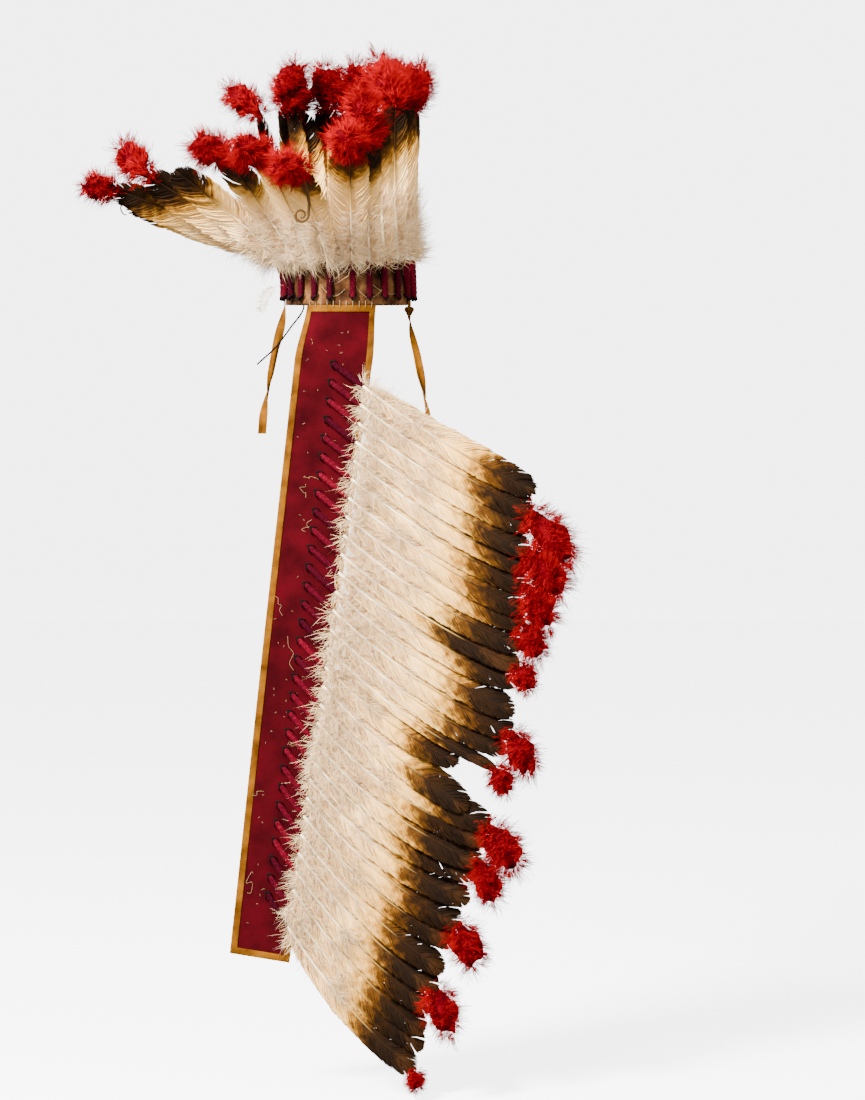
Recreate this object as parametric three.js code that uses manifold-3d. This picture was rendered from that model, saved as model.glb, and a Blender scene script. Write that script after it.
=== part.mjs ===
// A feathered headdress with one long trailer, in the form it has when it is worn. A hide skull cap has a
// folded cuff, and prepared feathers are laced round the cuff as a crown. A strip of red wool, bound with
// ribbon, hangs from the back of the rim, and a row of the same feathers is laced down the strip. Two cloth
// ties hang from the sides of the cuff, and the stiff end of a lace sticks out under the rim.
// Lengths are millimetres and angles are degrees. +Z is up and the wearer faces -Y, so the wearer's left is
// +X. The origin is the middle of the head opening, level with the rim.
import * as THREE from "three";
import { mergeVertices } from "three/addons/utils/BufferGeometryUtils.js";
import Module from "manifold-3d";

const wasm = await Module();
wasm.setup();

// Gap between two pieces that touch
const CLEARANCE = 0.3;

// Skull cap
const HEAD_HALF_WIDTH = 79;
const HEAD_HALF_LENGTH = 97;
const CAP_WALL = 2.5;
const CAP_HEIGHT = 116;
const CUFF_HEIGHT = 38;
const CUFF_THICKNESS = 2;

// Prepared feather: a quill end wrapped in red cloth, down above the wrap, a vane, and a dyed plume on its
// tip. The wrap is straight for a share of its length. The line of a feather is worked out in steps.
const WRAP_RADIUS = 4.1;
const WRAP_LENGTH = 50;
const WRAP_STRAIGHT = 0.94;
const FEATHER_SIDES = 6;
const LINE_STEPS = 60;
const VANE_TURN_FROM = 0.18;
const VANE_TURN_TO = 0.42;
const VANE_HALF_WIDTH = 25;
const SHAFT_HALF_THICKNESS = 1.1;
const PLUME_LENGTH = 74;
const PLUME_HALF_WIDTH = 22;
const PLUME_HALF_THICKNESS = 11;

// Crown of feathers round the cuff. Each turns to its own direction between two shares of its length.
const CROWN_FIRST_AZIMUTH = 5;
const CROWN_BACK_GAP = 20;
const CROWN_FEATHER_LENGTH = 250;
const CROWN_LACING_HEIGHT = 9;
const CROWN_ROLL = 12;
const CROWN_CAMBER = 2.6;
const CROWN_CURL = 6;
const CROWN_TURN_FROM = 0.02;
const CROWN_TURN_TO = 0.28;

// Trailer: the wool strip and its ribbon binding. The strip leans, its foot slopes by a further angle, and
// it swells back from the wearer, most at a share of its length, and less again at its foot. It tapers on
// the side of the feathers. The binding's open middle is cut with a slab that reaches a little further.
const TRAILER_LENGTH = 860;
const TRAILER_WIDTH = 104;
const TRAILER_TAPER = 25;
const TRAILER_LEAN = 6.3;
const TRAILER_SLOPE = 9.3;
const SLOPE_FROM = 0.05;
const SLOPE_TO = 0.9;
const TRAILER_TOP_AZIMUTH = -6;
const TRAILER_SWELL = 16;
const SWELL_MOST_AT = 0.6;
const SWELL_LOST_BELOW = 0.65;
const TRAILER_FLATTENS_BY = 74;
const CLOTH_THICKNESS = 2;
const BINDING_WALL = 1;
const BINDING_WIDTH = 9;
const WINDOW_REACH = 7;

// Feathers down the trailer. The line of lacings runs left of the strip's middle, by shares of its width.
const TRAILER_FEATHER_COUNT = 30;
const TRAILER_FEATHER_LENGTH = 308;
const TRAILER_FIRST_LACING = 76;
const TRAILER_BOTTOM_MARGIN = 86;
const LACING_AT_TOP = -0.02;
const LACING_AT_FOOT = -0.11;
const TRAILER_ROLL = 13;
const TRAILER_PLUME_DROP = 40;
const TRAILER_PLUME_STAND = 28;
const TRAILER_CAMBER = 1.2;
const TRAILER_RISE = 3;
const TRAILER_LIFT = 3;

// Cloth ties, which start at a height on the cuff or under it, and the lace end
const TIE_WIDTH = 13;
const TIE_THICKNESS = 2;
const LEFT_TIE_LENGTH = 200;
const RIGHT_TIE_LENGTH = 172;
const LEFT_TIE_TOP = 30.4;
const RIGHT_TIE_TOP = 11.4;
const LEFT_TIE_PLACE = 18.5;
const RIGHT_TIE_PLACE = 4.5;
const KNOT_RADIUS = 7;
const LACE_RADIUS = 1.2;
const LACE_SIDES = 8;
const LACE_STEP = 6;

// Looks of the materials
const HIDE = { color: 0x9a6226, roughness: 0.85, metalness: 0 };
const RED_WOOL = { color: 0x8e0f1a, roughness: 0.95, metalness: 0 };
const OCHRE_RIBBON = { color: 0xb9812a, roughness: 0.7, metalness: 0 };
const FEATHER = { color: 0xe9dcc0, roughness: 0.8, metalness: 0 };
const DARK_LACE = { color: 0x2c2320, roughness: 0.7, metalness: 0 };

// Outline of the cap from rim to top, as shares of its height and of its plan at the rim
const CAP_ROWS = [
  { height: 0.0, reach: 1.0 },
  { height: 0.3, reach: 0.985 },
  { height: 0.52, reach: 0.93 },
  { height: 0.72, reach: 0.82 },
  { height: 0.87, reach: 0.64 },
  { height: 0.96, reach: 0.39 },
];
const CAP_SIDES = 36;

// Half width and half thickness of a vane from the wrap to the tip, as shares of the named sizes
const VANE_ROWS = [
  { at: 0.0, width: 0.09, thickness: 1.4 },
  { at: 0.06, width: 0.3, thickness: 2.4 },
  { at: 0.22, width: 0.42, thickness: 2.0 },
  { at: 0.38, width: 0.84, thickness: 1.0 },
  { at: 0.68, width: 1.0, thickness: 0.8 },
  { at: 0.9, width: 0.9, thickness: 0.6 },
  { at: 1.0, width: 0.56, thickness: 0.5 },
];

// Spread of a plume from its foot to its tip, as shares of its half width and half thickness. In each row
// every second corner is a lock that stands out, and the rows take turns.
const PLUME_ROWS = [
  { at: 0.1, spread: 0.35 },
  { at: 0.32, spread: 0.95 },
  { at: 0.58, spread: 1.0 },
  { at: 0.82, spread: 0.6 },
];
const LOCK_VALLEY = 0.55;
const LOCK_REACH = 0.09;

// The crown from the middle of the back, round the wearer's right and the brow to the left and back again:
// how far each feather falls to the wearer's left and to the back, its length and its plume as shares, how
// far its vane turns about its own line, and how far its plume folds outwards
const CROWN_ROWS = [
  { left: 1, back: 42, reach: 1.0, plume: 1, turn: 0, fold: 37 },
  { left: 3, back: 38, reach: 0.98, plume: 1, turn: 4, fold: -37 },
  { left: 4, back: 24, reach: 1.0, plume: 0, turn: 10, fold: 37 },
  { left: 4, back: 11, reach: 1.02, plume: 0.9, turn: 18, fold: -45 },
  { left: 5, back: 5, reach: 1.0, plume: 0, turn: 26, fold: 37 },
  { left: 4.5, back: 1, reach: 1.03, plume: 1, turn: 24, fold: -45 },
  { left: 3.5, back: 0, reach: 1.0, plume: 0.9, turn: 20, fold: 5 },
  { left: 3, back: 2, reach: 1.04, plume: 1, turn: 12, fold: -37 },
  { left: 1.5, back: 2, reach: 1.0, plume: 1, turn: 4, fold: 15 },
  { left: 0, back: 2, reach: 1.05, plume: 1, turn: 0, fold: -37 },
  { left: 0, back: 1.7, reach: 1.02, plume: 1, turn: 0, fold: 37 },
  { left: 0, back: 1.5, reach: 1.04, plume: 0.9, turn: 0, fold: -37 },
  { left: 0, back: 1.5, reach: 1.0, plume: 1, turn: 0, fold: 37 },
  { left: 1, back: 2, reach: 1.03, plume: 1, turn: 0, fold: -37 },
  { left: 2.5, back: 3, reach: 1.0, plume: 1, turn: 0, fold: 37 },
  { left: 4, back: 5, reach: 1.04, plume: 1, turn: 0, fold: -37 },
  { left: 9, back: 2, reach: 1.0, plume: 0.9, turn: -10, fold: 37 },
  { left: 66, back: -8, reach: 1.08, plume: 0, turn: -80, fold: -37 },
  { left: 63, back: 3, reach: 1.14, plume: 0.75, turn: -80, fold: 37 },
  { left: 54, back: 20, reach: 1.02, plume: 0.95, turn: -70, fold: -37 },
  { left: 46, back: 30, reach: 0.98, plume: 0, turn: -55, fold: 37 },
  { left: 30, back: 38, reach: 0.98, plume: 1, turn: -40, fold: 30 },
  { left: 20, back: 43, reach: 1.0, plume: 1, turn: -20, fold: 37 },
  { left: 13, back: 53, reach: 1.0, plume: 0.95, turn: -8, fold: 30 },
];

// Rows and columns of flat patches that make up the curved strip
const STRIP_ROWS = 14;
const STRIP_COLUMNS = 4;

// Feathers down the trailer: the angles of the wrap and of the tip below level, and the length and the
// width of the vane as shares
const TRAILER_ROWS = [
  { down: 0, wrap: 38, tip: 27, reach: 1.02, width: 1 },
  { down: 0.17, wrap: 39, tip: 27, reach: 1.045, width: 1 },
  { down: 0.34, wrap: 42, tip: 25, reach: 1.06, width: 1 },
  { down: 0.414, wrap: 44, tip: 28, reach: 1.09, width: 1 },
  { down: 0.448, wrap: 45, tip: 28, reach: 1.07, width: 0.9 },
  { down: 0.483, wrap: 46, tip: 27, reach: 1.04, width: 0.35 },
  { down: 0.517, wrap: 47, tip: 30, reach: 0.86, width: 0.9 },
  { down: 0.552, wrap: 47.5, tip: 34, reach: 0.97, width: 1 },
  { down: 0.59, wrap: 48, tip: 26, reach: 1.07, width: 1 },
  { down: 0.69, wrap: 51, tip: 24, reach: 1.03, width: 1 },
  { down: 0.86, wrap: 55, tip: 38, reach: 1.0, width: 1 },
  { down: 1, wrap: 58, tip: 42, reach: 0.985, width: 1 },
];

// Which feathers down the trailer carry a plume, and its size as a share
const TRAILER_PLUMES = [
  { down: 0.03, size: 1.4 },
  { down: 0.1, size: 1.2 },
  { down: 0.17, size: 1.0 },
  { down: 0.24, size: 0.75 },
  { down: 0.31, size: 0.55 },
  { down: 0.41, size: 0.9 },
  { down: 0.48, size: 0.55 },
  { down: 0.59, size: 1.05 },
  { down: 0.66, size: 0.85 },
  { down: 0.76, size: 0.9 },
  { down: 0.86, size: 0.95 },
  { down: 1.0, size: 0.3 },
];

// Twist of a tie down its length, in degrees, and how far it swings out, as a share of its length
const TIE_STATIONS = 30;
const TIE_ROWS = [
  { down: 0.0, twist: 0, out: 0.0 },
  { down: 0.16, twist: 0, out: 0.0 },
  { down: 0.44, twist: 110, out: 0.06 },
  { down: 0.6, twist: 130, out: 0.09 },
  { down: 0.88, twist: 230, out: 0.14 },
  { down: 1.0, twist: 240, out: 0.15 },
];

// Route of the lace end from under the rim, chosen by hand: [x, y, z]
const LACE_ROUTE = [
  [57, 70.7, -0.3],
  [57.2, 70.8, -4],
  [58.6, 71, -8],
  [61.4, 71.4, -13],
  [65, 72, -18],
  [69, 72.6, -23],
  [73, 73, -28],
  [77, 73.4, -33.5],
  [81, 73.8, -39],
  [85, 74, -44.5],
  [89, 74.2, -50],
  [93.4, 74.4, -55],
  [98.2, 74.6, -60],
  [103.2, 74.8, -64.6],
  [108.2, 75, -69],
  [113.2, 75, -73.4],
  [118, 75, -78],
];

const radians = THREE.MathUtils.degToRad;
const lerp = THREE.MathUtils.lerp;
const smooth = THREE.MathUtils.smoothstep;
const UP = new THREE.Vector3(0, 0, 1);

// Reads a column of a table between its rows, by straight lines.
function between(rows, key, at, column) {
  const next = rows.findIndex((row) => row[key] >= at);
  if (next <= 0) return rows[next < 0 ? rows.length - 1 : 0][column];
  const [a, b] = [rows[next - 1], rows[next]];
  return lerp(a[column], b[column], (at - a[key]) / (b[key] - a[key]));
}

// Turns the triangles round if they face inwards, which shows as a negative volume.
function faceOutwards(points, faces) {
  const cross = new THREE.Vector3();
  let volume = 0;
  for (const [a, b, c] of faces) volume += points[a].dot(cross.crossVectors(points[b], points[c]));
  return volume < 0 ? faces.map(([a, b, c]) => [a, c, b]) : faces;
}

function geometryOf(points, faces) {
  const geometry = new THREE.BufferGeometry().setFromPoints(points);
  geometry.setIndex(faceOutwards(points, faces).flat());
  geometry.computeVertexNormals();
  return geometry;
}

const middleOf = (ring) =>
  ring.reduce((sum, p) => sum.add(p), new THREE.Vector3()).divideScalar(ring.length);

// A closed body through rings of points, with a fan at each end to a pole.
function loft(rings, startPole = middleOf(rings[0]), endPole = middleOf(rings.at(-1))) {
  const sides = rings[0].length;
  const points = [...rings.flat(), startPole, endPole];
  const [start, end] = [points.length - 2, points.length - 1];
  const last = (rings.length - 1) * sides;
  const faces = [];
  for (let side = 0; side < sides; side += 1) {
    const next = (side + 1) % sides;
    for (let row = 0; row < last; row += sides) {
      faces.push([row + side, row + next, row + sides + next]);
      faces.push([row + side, row + sides + next, row + sides + side]);
    }
    faces.push([start, next, side]);
    faces.push([end, last + side, last + next]);
  }
  return geometryOf(points, faces);
}

function toSolid(geometry) {
  const bare = geometry.clone();
  bare.deleteAttribute("normal");
  bare.deleteAttribute("uv");
  const merged = mergeVertices(bare, 1e-3);
  const vertProperties = merged.attributes.position.array;
  const triVerts = new Uint32Array(merged.index.array);
  return new wasm.Manifold(new wasm.Mesh({ numProp: 3, vertProperties, triVerts }));
}

function toGeometry(solid) {
  const mesh = solid.getMesh();
  const geometry = new THREE.BufferGeometry();
  geometry.setAttribute("position", new THREE.BufferAttribute(mesh.vertProperties, 3));
  geometry.setIndex(new THREE.BufferAttribute(mesh.triVerts, 1));
  geometry.computeVertexNormals();
  return geometry;
}

function addMesh(group, name, geometry, look) {
  const mesh = new THREE.Mesh(geometry, new THREE.MeshStandardMaterial(look));
  mesh.name = name;
  group.add(mesh);
}

// The cap's plan is an ellipse, grown by an offset from the head. Azimuth 0 is the back of the head and
// azimuth 90 is the wearer's right.
function onPlan(azimuth, offset, reach = 1) {
  const angle = radians(azimuth);
  const x = -(HEAD_HALF_WIDTH * reach + offset) * Math.sin(angle);
  const y = (HEAD_HALF_LENGTH * reach + offset) * Math.cos(angle);
  return new THREE.Vector3(x, y, 0);
}

function outwards(azimuth, offset) {
  const angle = radians(azimuth);
  const x = -Math.sin(angle) / (HEAD_HALF_WIDTH + offset);
  const y = Math.cos(angle) / (HEAD_HALF_LENGTH + offset);
  return new THREE.Vector3(x, y, 0).normalize();
}

function planRing(height, reach, offset) {
  return Array.from({ length: CAP_SIDES }, (_, side) =>
    onPlan((side * 360) / CAP_SIDES, offset, reach).setZ(height),
  );
}

const CUFF_TOP_REACH = between(CAP_ROWS, "height", CUFF_HEIGHT / CAP_HEIGHT, "reach");

// One shell from the inner top down to the rim, out under the cuff, up the cuff and over the outside.
function skullCap() {
  const inner = CAP_HEIGHT - CAP_WALL;
  const inside = CAP_ROWS.map((row) => planRing(row.height * inner, row.reach, 0)).reverse();
  const cuffOffset = CAP_WALL + CUFF_THICKNESS;
  const cuff = [
    planRing(0, 1, cuffOffset),
    planRing(CUFF_HEIGHT, CUFF_TOP_REACH, cuffOffset),
    planRing(CUFF_HEIGHT + CUFF_THICKNESS / 2, CUFF_TOP_REACH, CAP_WALL),
  ];
  const outside = CAP_ROWS.filter((row) => row.height * CAP_HEIGHT > CUFF_HEIGHT + CUFF_THICKNESS).map(
    (row) => planRing(row.height * CAP_HEIGHT, row.reach, CAP_WALL),
  );
  return loft([...inside, ...cuff, ...outside], UP.clone().setZ(inner), UP.clone().setZ(CAP_HEIGHT));
}

// The line of a feather: it leaves its root along start, turns to end between two shares of its length, and
// curls towards out on the way. It is rolled about itself, and its vane may be turned further. Gives a
// function from a share of the length to the place and axes there.
function featherLine({ root, start, end, out, turnFrom, turnTo, curl, length, roll, vaneTurn = 0 }) {
  const turn = new THREE.Quaternion().setFromUnitVectors(start, end);
  const none = new THREE.Quaternion();
  const point = root.clone();
  const frames = [];
  for (let step = 0; step <= LINE_STEPS; step += 1) {
    const share = step / LINE_STEPS;
    const part = none.clone().slerp(turn, smooth(share, turnFrom, turnTo));
    const along = start.clone().applyQuaternion(part);
    const bend = new THREE.Vector3().crossVectors(along, out).normalize();
    along.applyAxisAngle(bend, radians(curl * share));
    const side = new THREE.Vector3().crossVectors(along, out).normalize();
    const face = new THREE.Vector3().crossVectors(side, along);
    const rolled = radians(roll + vaneTurn * smooth(share, VANE_TURN_FROM, VANE_TURN_TO));
    side.applyAxisAngle(along, -rolled);
    face.applyAxisAngle(along, -rolled);
    frames.push({ point: point.clone(), along, side, face });
    point.addScaledVector(along, length / LINE_STEPS);
  }
  return (share) => frames[Math.round(share * LINE_STEPS)];
}

const cornerAngles = (sides) => Array.from({ length: sides }, (_, corner) => radians((corner * 360) / sides));

// A six-sided ring across a feather, flat for a vane and round for a wrap. A camber drops its edges.
function featherRing({ point, side, face }, halfWidth, halfThickness, camber) {
  return cornerAngles(FEATHER_SIDES).map((angle) => {
    const across = Math.cos(angle) * halfWidth;
    const height = Math.sin(angle) * halfThickness - camber * (across / VANE_HALF_WIDTH) ** 2;
    return point.clone().addScaledVector(side, across).addScaledVector(face, height);
  });
}

// The rings of a plume from a vane's tip along its own direction. A lock stands out and points forwards.
function plumeRings(foot, { along, side, face }, size) {
  return PLUME_ROWS.map(({ at, spread }, row) =>
    cornerAngles(FEATHER_SIDES).map((angle, corner) => {
      const isLock = (corner + row) % 2 === 0;
      const reach = size * spread * (isLock ? 1 : LOCK_VALLEY);
      const forwards = size * PLUME_LENGTH * (at + (isLock ? LOCK_REACH : 0));
      return foot
        .clone()
        .addScaledVector(along, forwards)
        .addScaledVector(side, Math.cos(angle) * PLUME_HALF_WIDTH * reach)
        .addScaledVector(face, Math.sin(angle) * PLUME_HALF_THICKNESS * reach);
    }),
  );
}

// A prepared feather: one loft through the wrap, the vane and the plume. The plume leaves the tip as the
// function says that turns the tip's axes into the plume's.
function feather({ line, length, width = 1, camber, plume, turnPlume }) {
  const wrapShare = WRAP_LENGTH / length;
  const wrap = [0, WRAP_STRAIGHT].map((at) => featherRing(line(wrapShare * at), WRAP_RADIUS, WRAP_RADIUS, 0));
  const vane = VANE_ROWS.map((row) => {
    const frame = line(lerp(wrapShare, 1, row.at));
    const halfWidth = row.width * width * VANE_HALF_WIDTH;
    return featherRing(frame, halfWidth, row.thickness * SHAFT_HALF_THICKNESS, camber);
  });
  if (!plume) return loft([...wrap, ...vane]);
  const tip = line(1);
  const axes = turnPlume(tip);
  const top = tip.point.clone().addScaledVector(axes.along, plume * PLUME_LENGTH);
  const rings = [...wrap, ...vane, ...plumeRings(tip.point, axes, plume)];
  return loft(rings, middleOf(wrap[0]), top);
}

// Turns the axes of a tip about its side, and then about its face.
function turned({ along, side, face }, aboutSide, aboutFace) {
  const turn = new THREE.Quaternion().setFromAxisAngle(face, radians(aboutFace));
  turn.multiply(new THREE.Quaternion().setFromAxisAngle(side, radians(aboutSide)));
  const [newAlong, newSide, newFace] = [along, side, face].map((axis) => axis.clone().applyQuaternion(turn));
  return { along: newAlong, side: newSide, face: newFace };
}

// How far a six-sided wrap reaches towards what it lies on, when it is rolled about its own line.
const wrapReach = (roll) => WRAP_RADIUS * Math.cos(radians(180 / FEATHER_SIDES - Math.abs(roll)));

// The feathers share out the cuff evenly, but for a gap at the middle of the back.
const crownAzimuth = (place) =>
  CROWN_FIRST_AZIMUTH + (place * (360 - CROWN_BACK_GAP)) / (CROWN_ROWS.length - 1);

// Crown feathers stand on the cuff and flare as their row says.
function crownFeather(index) {
  const row = CROWN_ROWS[index];
  const azimuth = crownAzimuth(index);
  const offset = CAP_WALL + CUFF_THICKNESS + CLEARANCE + wrapReach(CROWN_ROLL);
  const out = outwards(azimuth, offset);
  const length = CROWN_FEATHER_LENGTH * row.reach;
  const foot = onPlan(azimuth, offset);
  const upCuff = onPlan(azimuth, offset, CUFF_TOP_REACH).setZ(CUFF_HEIGHT).sub(foot);
  const line = featherLine({
    root: foot.addScaledVector(upCuff, CROWN_LACING_HEIGHT / CUFF_HEIGHT),
    start: upCuff.normalize(),
    end: new THREE.Vector3(Math.tan(radians(row.left)), Math.tan(radians(row.back)), 1).normalize(),
    out,
    turnFrom: CROWN_TURN_FROM,
    turnTo: CROWN_TURN_TO,
    curl: CROWN_CURL,
    length,
    roll: CROWN_ROLL,
    vaneTurn: row.turn,
  });
  const turnPlume = (tip) => turned(tip, row.fold, 0);
  return feather({ line, length, camber: CROWN_CAMBER, plume: row.plume, turnPlume });
}

// The middle surface of the strip, u down it and v across it to the wearer's right. It starts on the curve
// of the rim, is flat further down, leans to the wearer's left and swells back.
const RIM_MIDDLE = (CAP_WALL + CUFF_THICKNESS) / 2;
const RIM_ARC = (HEAD_HALF_WIDTH + HEAD_HALF_LENGTH) / 2 + RIM_MIDDLE;
const STRIP_TOP = -CLEARANCE;

function hangBack(share) {
  const swelling = smooth(share, 0, SWELL_MOST_AT);
  return TRAILER_SWELL * (swelling - SWELL_LOST_BELOW * smooth(share, SWELL_MOST_AT, 1));
}

function stripPoint(u, v) {
  const share = u / TRAILER_LENGTH;
  const lean = radians(TRAILER_LEAN);
  const slope = radians(TRAILER_SLOPE * smooth(share, SLOPE_FROM, SLOPE_TO));
  const onRim = onPlan(TRAILER_TOP_AZIMUTH + THREE.MathUtils.radToDeg(v / RIM_ARC), RIM_MIDDLE);
  const middle = onPlan(TRAILER_TOP_AZIMUTH, RIM_MIDDLE);
  const flat = new THREE.Vector3(middle.x - v * Math.cos(slope), middle.y, -v * Math.sin(slope));
  const point = onRim.lerp(flat, smooth(u, 0, TRAILER_FLATTENS_BY));
  const down = new THREE.Vector3(u * Math.sin(lean), hangBack(share), STRIP_TOP - u * Math.cos(lean));
  return point.add(down);
}

// The strip's outward direction, which is away from the wearer's back.
function stripNormal(u, v) {
  const step = 1;
  const down = stripPoint(u + step, v).sub(stripPoint(u - step, v));
  const across = stripPoint(u, v + step).sub(stripPoint(u, v - step));
  return new THREE.Vector3().crossVectors(down, across).normalize();
}

// A curved slab of the strip between two stations down and across, with the given half thickness. The last
// station across moves in with the taper.
function stripSlab(u0, u1, v0, v1, halfThickness) {
  const rings = Array.from({ length: STRIP_ROWS + 1 }, (_, row) => {
    const u = lerp(u0, u1, row / STRIP_ROWS);
    const face = (height) =>
      Array.from({ length: STRIP_COLUMNS + 1 }, (_unused, column) => {
        const v = lerp(v0, v1 - (TRAILER_TAPER * u) / TRAILER_LENGTH, column / STRIP_COLUMNS);
        return stripPoint(u, v).addScaledVector(stripNormal(u, v), height);
      });
    return [...face(halfThickness), ...face(-halfThickness).reverse()];
  });
  return loft(rings);
}

const BINDING_SIDE = BINDING_WALL + CLEARANCE;

function trailerCloth() {
  const half = TRAILER_WIDTH / 2 - BINDING_SIDE;
  return stripSlab(BINDING_SIDE, TRAILER_LENGTH - BINDING_SIDE, -half, half, CLOTH_THICKNESS / 2);
}

// The ribbon folds over all four edges of the cloth: a frame with a slot for the cloth and an open middle.
function trailerBinding() {
  const half = TRAILER_WIDTH / 2;
  const slot = CLOTH_THICKNESS / 2 + CLEARANCE;
  const outside = slot + BINDING_WALL;
  const outer = stripSlab(0, TRAILER_LENGTH, -half, half, outside);
  const inset = half - BINDING_WALL;
  const cloth = stripSlab(BINDING_WALL, TRAILER_LENGTH - BINDING_WALL, -inset, inset, slot);
  const open = half - BINDING_WIDTH;
  const window = stripSlab(BINDING_WIDTH, TRAILER_LENGTH - BINDING_WIDTH, -open, open, WINDOW_REACH);
  return toGeometry(toSolid(outer).subtract(toSolid(cloth)).subtract(toSolid(window)));
}

// Points right of the wearer and down by an angle, turned to lie in the strip's surface.
function alongStrip(angle, normal) {
  const along = new THREE.Vector3(-Math.cos(radians(angle)), 0, -Math.sin(radians(angle)));
  return along.projectOnPlane(normal).normalize();
}

function trailerFeather(index) {
  const share = index / (TRAILER_FEATHER_COUNT - 1);
  const read = (column) => between(TRAILER_ROWS, "down", share, column);
  const u = lerp(TRAILER_FIRST_LACING, TRAILER_LENGTH - TRAILER_BOTTOM_MARGIN, share);
  const v = lerp(LACING_AT_TOP, LACING_AT_FOOT, share) * TRAILER_WIDTH;
  const out = stripNormal(u, v);
  const lift = CLOTH_THICKNESS / 2 + CLEARANCE + wrapReach(TRAILER_ROLL);
  const length = TRAILER_FEATHER_LENGTH * read("reach");
  const start = alongStrip(read("wrap"), out).lerp(out, radians(TRAILER_RISE)).normalize();
  const line = featherLine({
    root: stripPoint(u, v).addScaledVector(out, lift),
    start,
    end: alongStrip(read("tip"), out),
    out,
    turnFrom: 0,
    turnTo: 1,
    curl: TRAILER_LIFT,
    length,
    roll: TRAILER_ROLL,
  });
  const isHere = ({ down }) => Math.round(down * (TRAILER_FEATHER_COUNT - 1)) === index;
  const plume = TRAILER_PLUMES.find(isHere)?.size ?? 0;
  const turnPlume = (tip) => turned(tip, TRAILER_PLUME_STAND, -TRAILER_PLUME_DROP);
  return feather({ line, length, width: read("width"), camber: TRAILER_CAMBER, plume, turnPlume });
}

// A flat ribbon that starts on the cuff between two wraps, hangs down and twists as its rows say.
function tieRings(azimuth, top, length) {
  const offset = CAP_WALL + CUFF_THICKNESS + CLEARANCE + TIE_THICKNESS / 2;
  const out = outwards(azimuth, offset);
  const foot = onPlan(azimuth, offset);
  const sideways = new THREE.Vector3().crossVectors(UP, out);
  return Array.from({ length: TIE_STATIONS + 1 }, (_, station) => {
    const down = station / TIE_STATIONS;
    const [twist, swing] = ["twist", "out"].map((column) => between(TIE_ROWS, "down", down, column));
    const point = foot.clone().addScaledVector(out, swing * length).setZ(top - down * length);
    const wide = sideways.clone().applyAxisAngle(UP, radians(twist)).multiplyScalar(TIE_WIDTH / 2);
    const thin = out.clone().applyAxisAngle(UP, radians(twist)).multiplyScalar(TIE_THICKNESS / 2);
    const corners = [wide.clone().add(thin), wide.clone().sub(thin)];
    return [...corners, ...corners.map((corner) => corner.clone().negate())].map((c) => c.add(point));
  });
}

function leftTie() {
  return loft(tieRings(crownAzimuth(LEFT_TIE_PLACE), LEFT_TIE_TOP, LEFT_TIE_LENGTH));
}

// The right tie is knotted under the rim, so its knot is one lump with the ribbon.
function rightTie() {
  const rings = tieRings(crownAzimuth(RIGHT_TIE_PLACE), RIGHT_TIE_TOP, RIGHT_TIE_LENGTH);
  const knot = new THREE.IcosahedronGeometry(KNOT_RADIUS, 1);
  const place = middleOf(rings[1]).setZ(-KNOT_RADIUS - 2 * CLEARANCE);
  knot.translate(place.x, place.y, place.z);
  return toGeometry(toSolid(loft(rings)).add(toSolid(knot)));
}

function laceEnd() {
  const route = new THREE.CatmullRomCurve3(LACE_ROUTE.map((p) => new THREE.Vector3(...p)));
  const corner = (angle) => new THREE.Vector2(Math.cos(angle), Math.sin(angle)).multiplyScalar(LACE_RADIUS);
  const section = new THREE.Shape(cornerAngles(LACE_SIDES).map(corner));
  const steps = Math.round(route.getLength() / LACE_STEP);
  return new THREE.ExtrudeGeometry(section, { steps, bevelEnabled: false, extrudePath: route });
}

const headdress = new THREE.Group();
addMesh(headdress, "skull_cap", skullCap(), HIDE);
CROWN_ROWS.forEach((_, index) => {
  const name = `crown_feather_${String(index + 1).padStart(2, "0")}`;
  addMesh(headdress, name, crownFeather(index), FEATHER);
});
addMesh(headdress, "trailer_cloth", trailerCloth(), RED_WOOL);
addMesh(headdress, "trailer_binding", trailerBinding(), OCHRE_RIBBON);
for (let index = 0; index < TRAILER_FEATHER_COUNT; index += 1) {
  const name = `trailer_feather_${String(index + 1).padStart(2, "0")}`;
  addMesh(headdress, name, trailerFeather(index), FEATHER);
}
addMesh(headdress, "tie_left", leftTie(), OCHRE_RIBBON);
addMesh(headdress, "tie_right", rightTie(), OCHRE_RIBBON);
addMesh(headdress, "lace_end", laceEnd(), DARK_LACE);

export default headdress;
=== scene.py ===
# %% [markdown]
# # A feathered headdress with one trailer
#
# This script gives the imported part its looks. The part arrives as plain solids, one for each feather, the
# cap, the cloth strip, its ribbon, two ties and a lace end. Each solid is replaced by a mesh of the same form
# with the detail of the real thing: barbs, down, plumes, wound cloth and lacing. Such looks could be sculpted
# or grown as hair, but a mesh from formulas is the same on each run and stays a solid of known size.
# Lengths in the code are millimetres, and one function turns them into metres when a mesh is made.

import math

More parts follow.
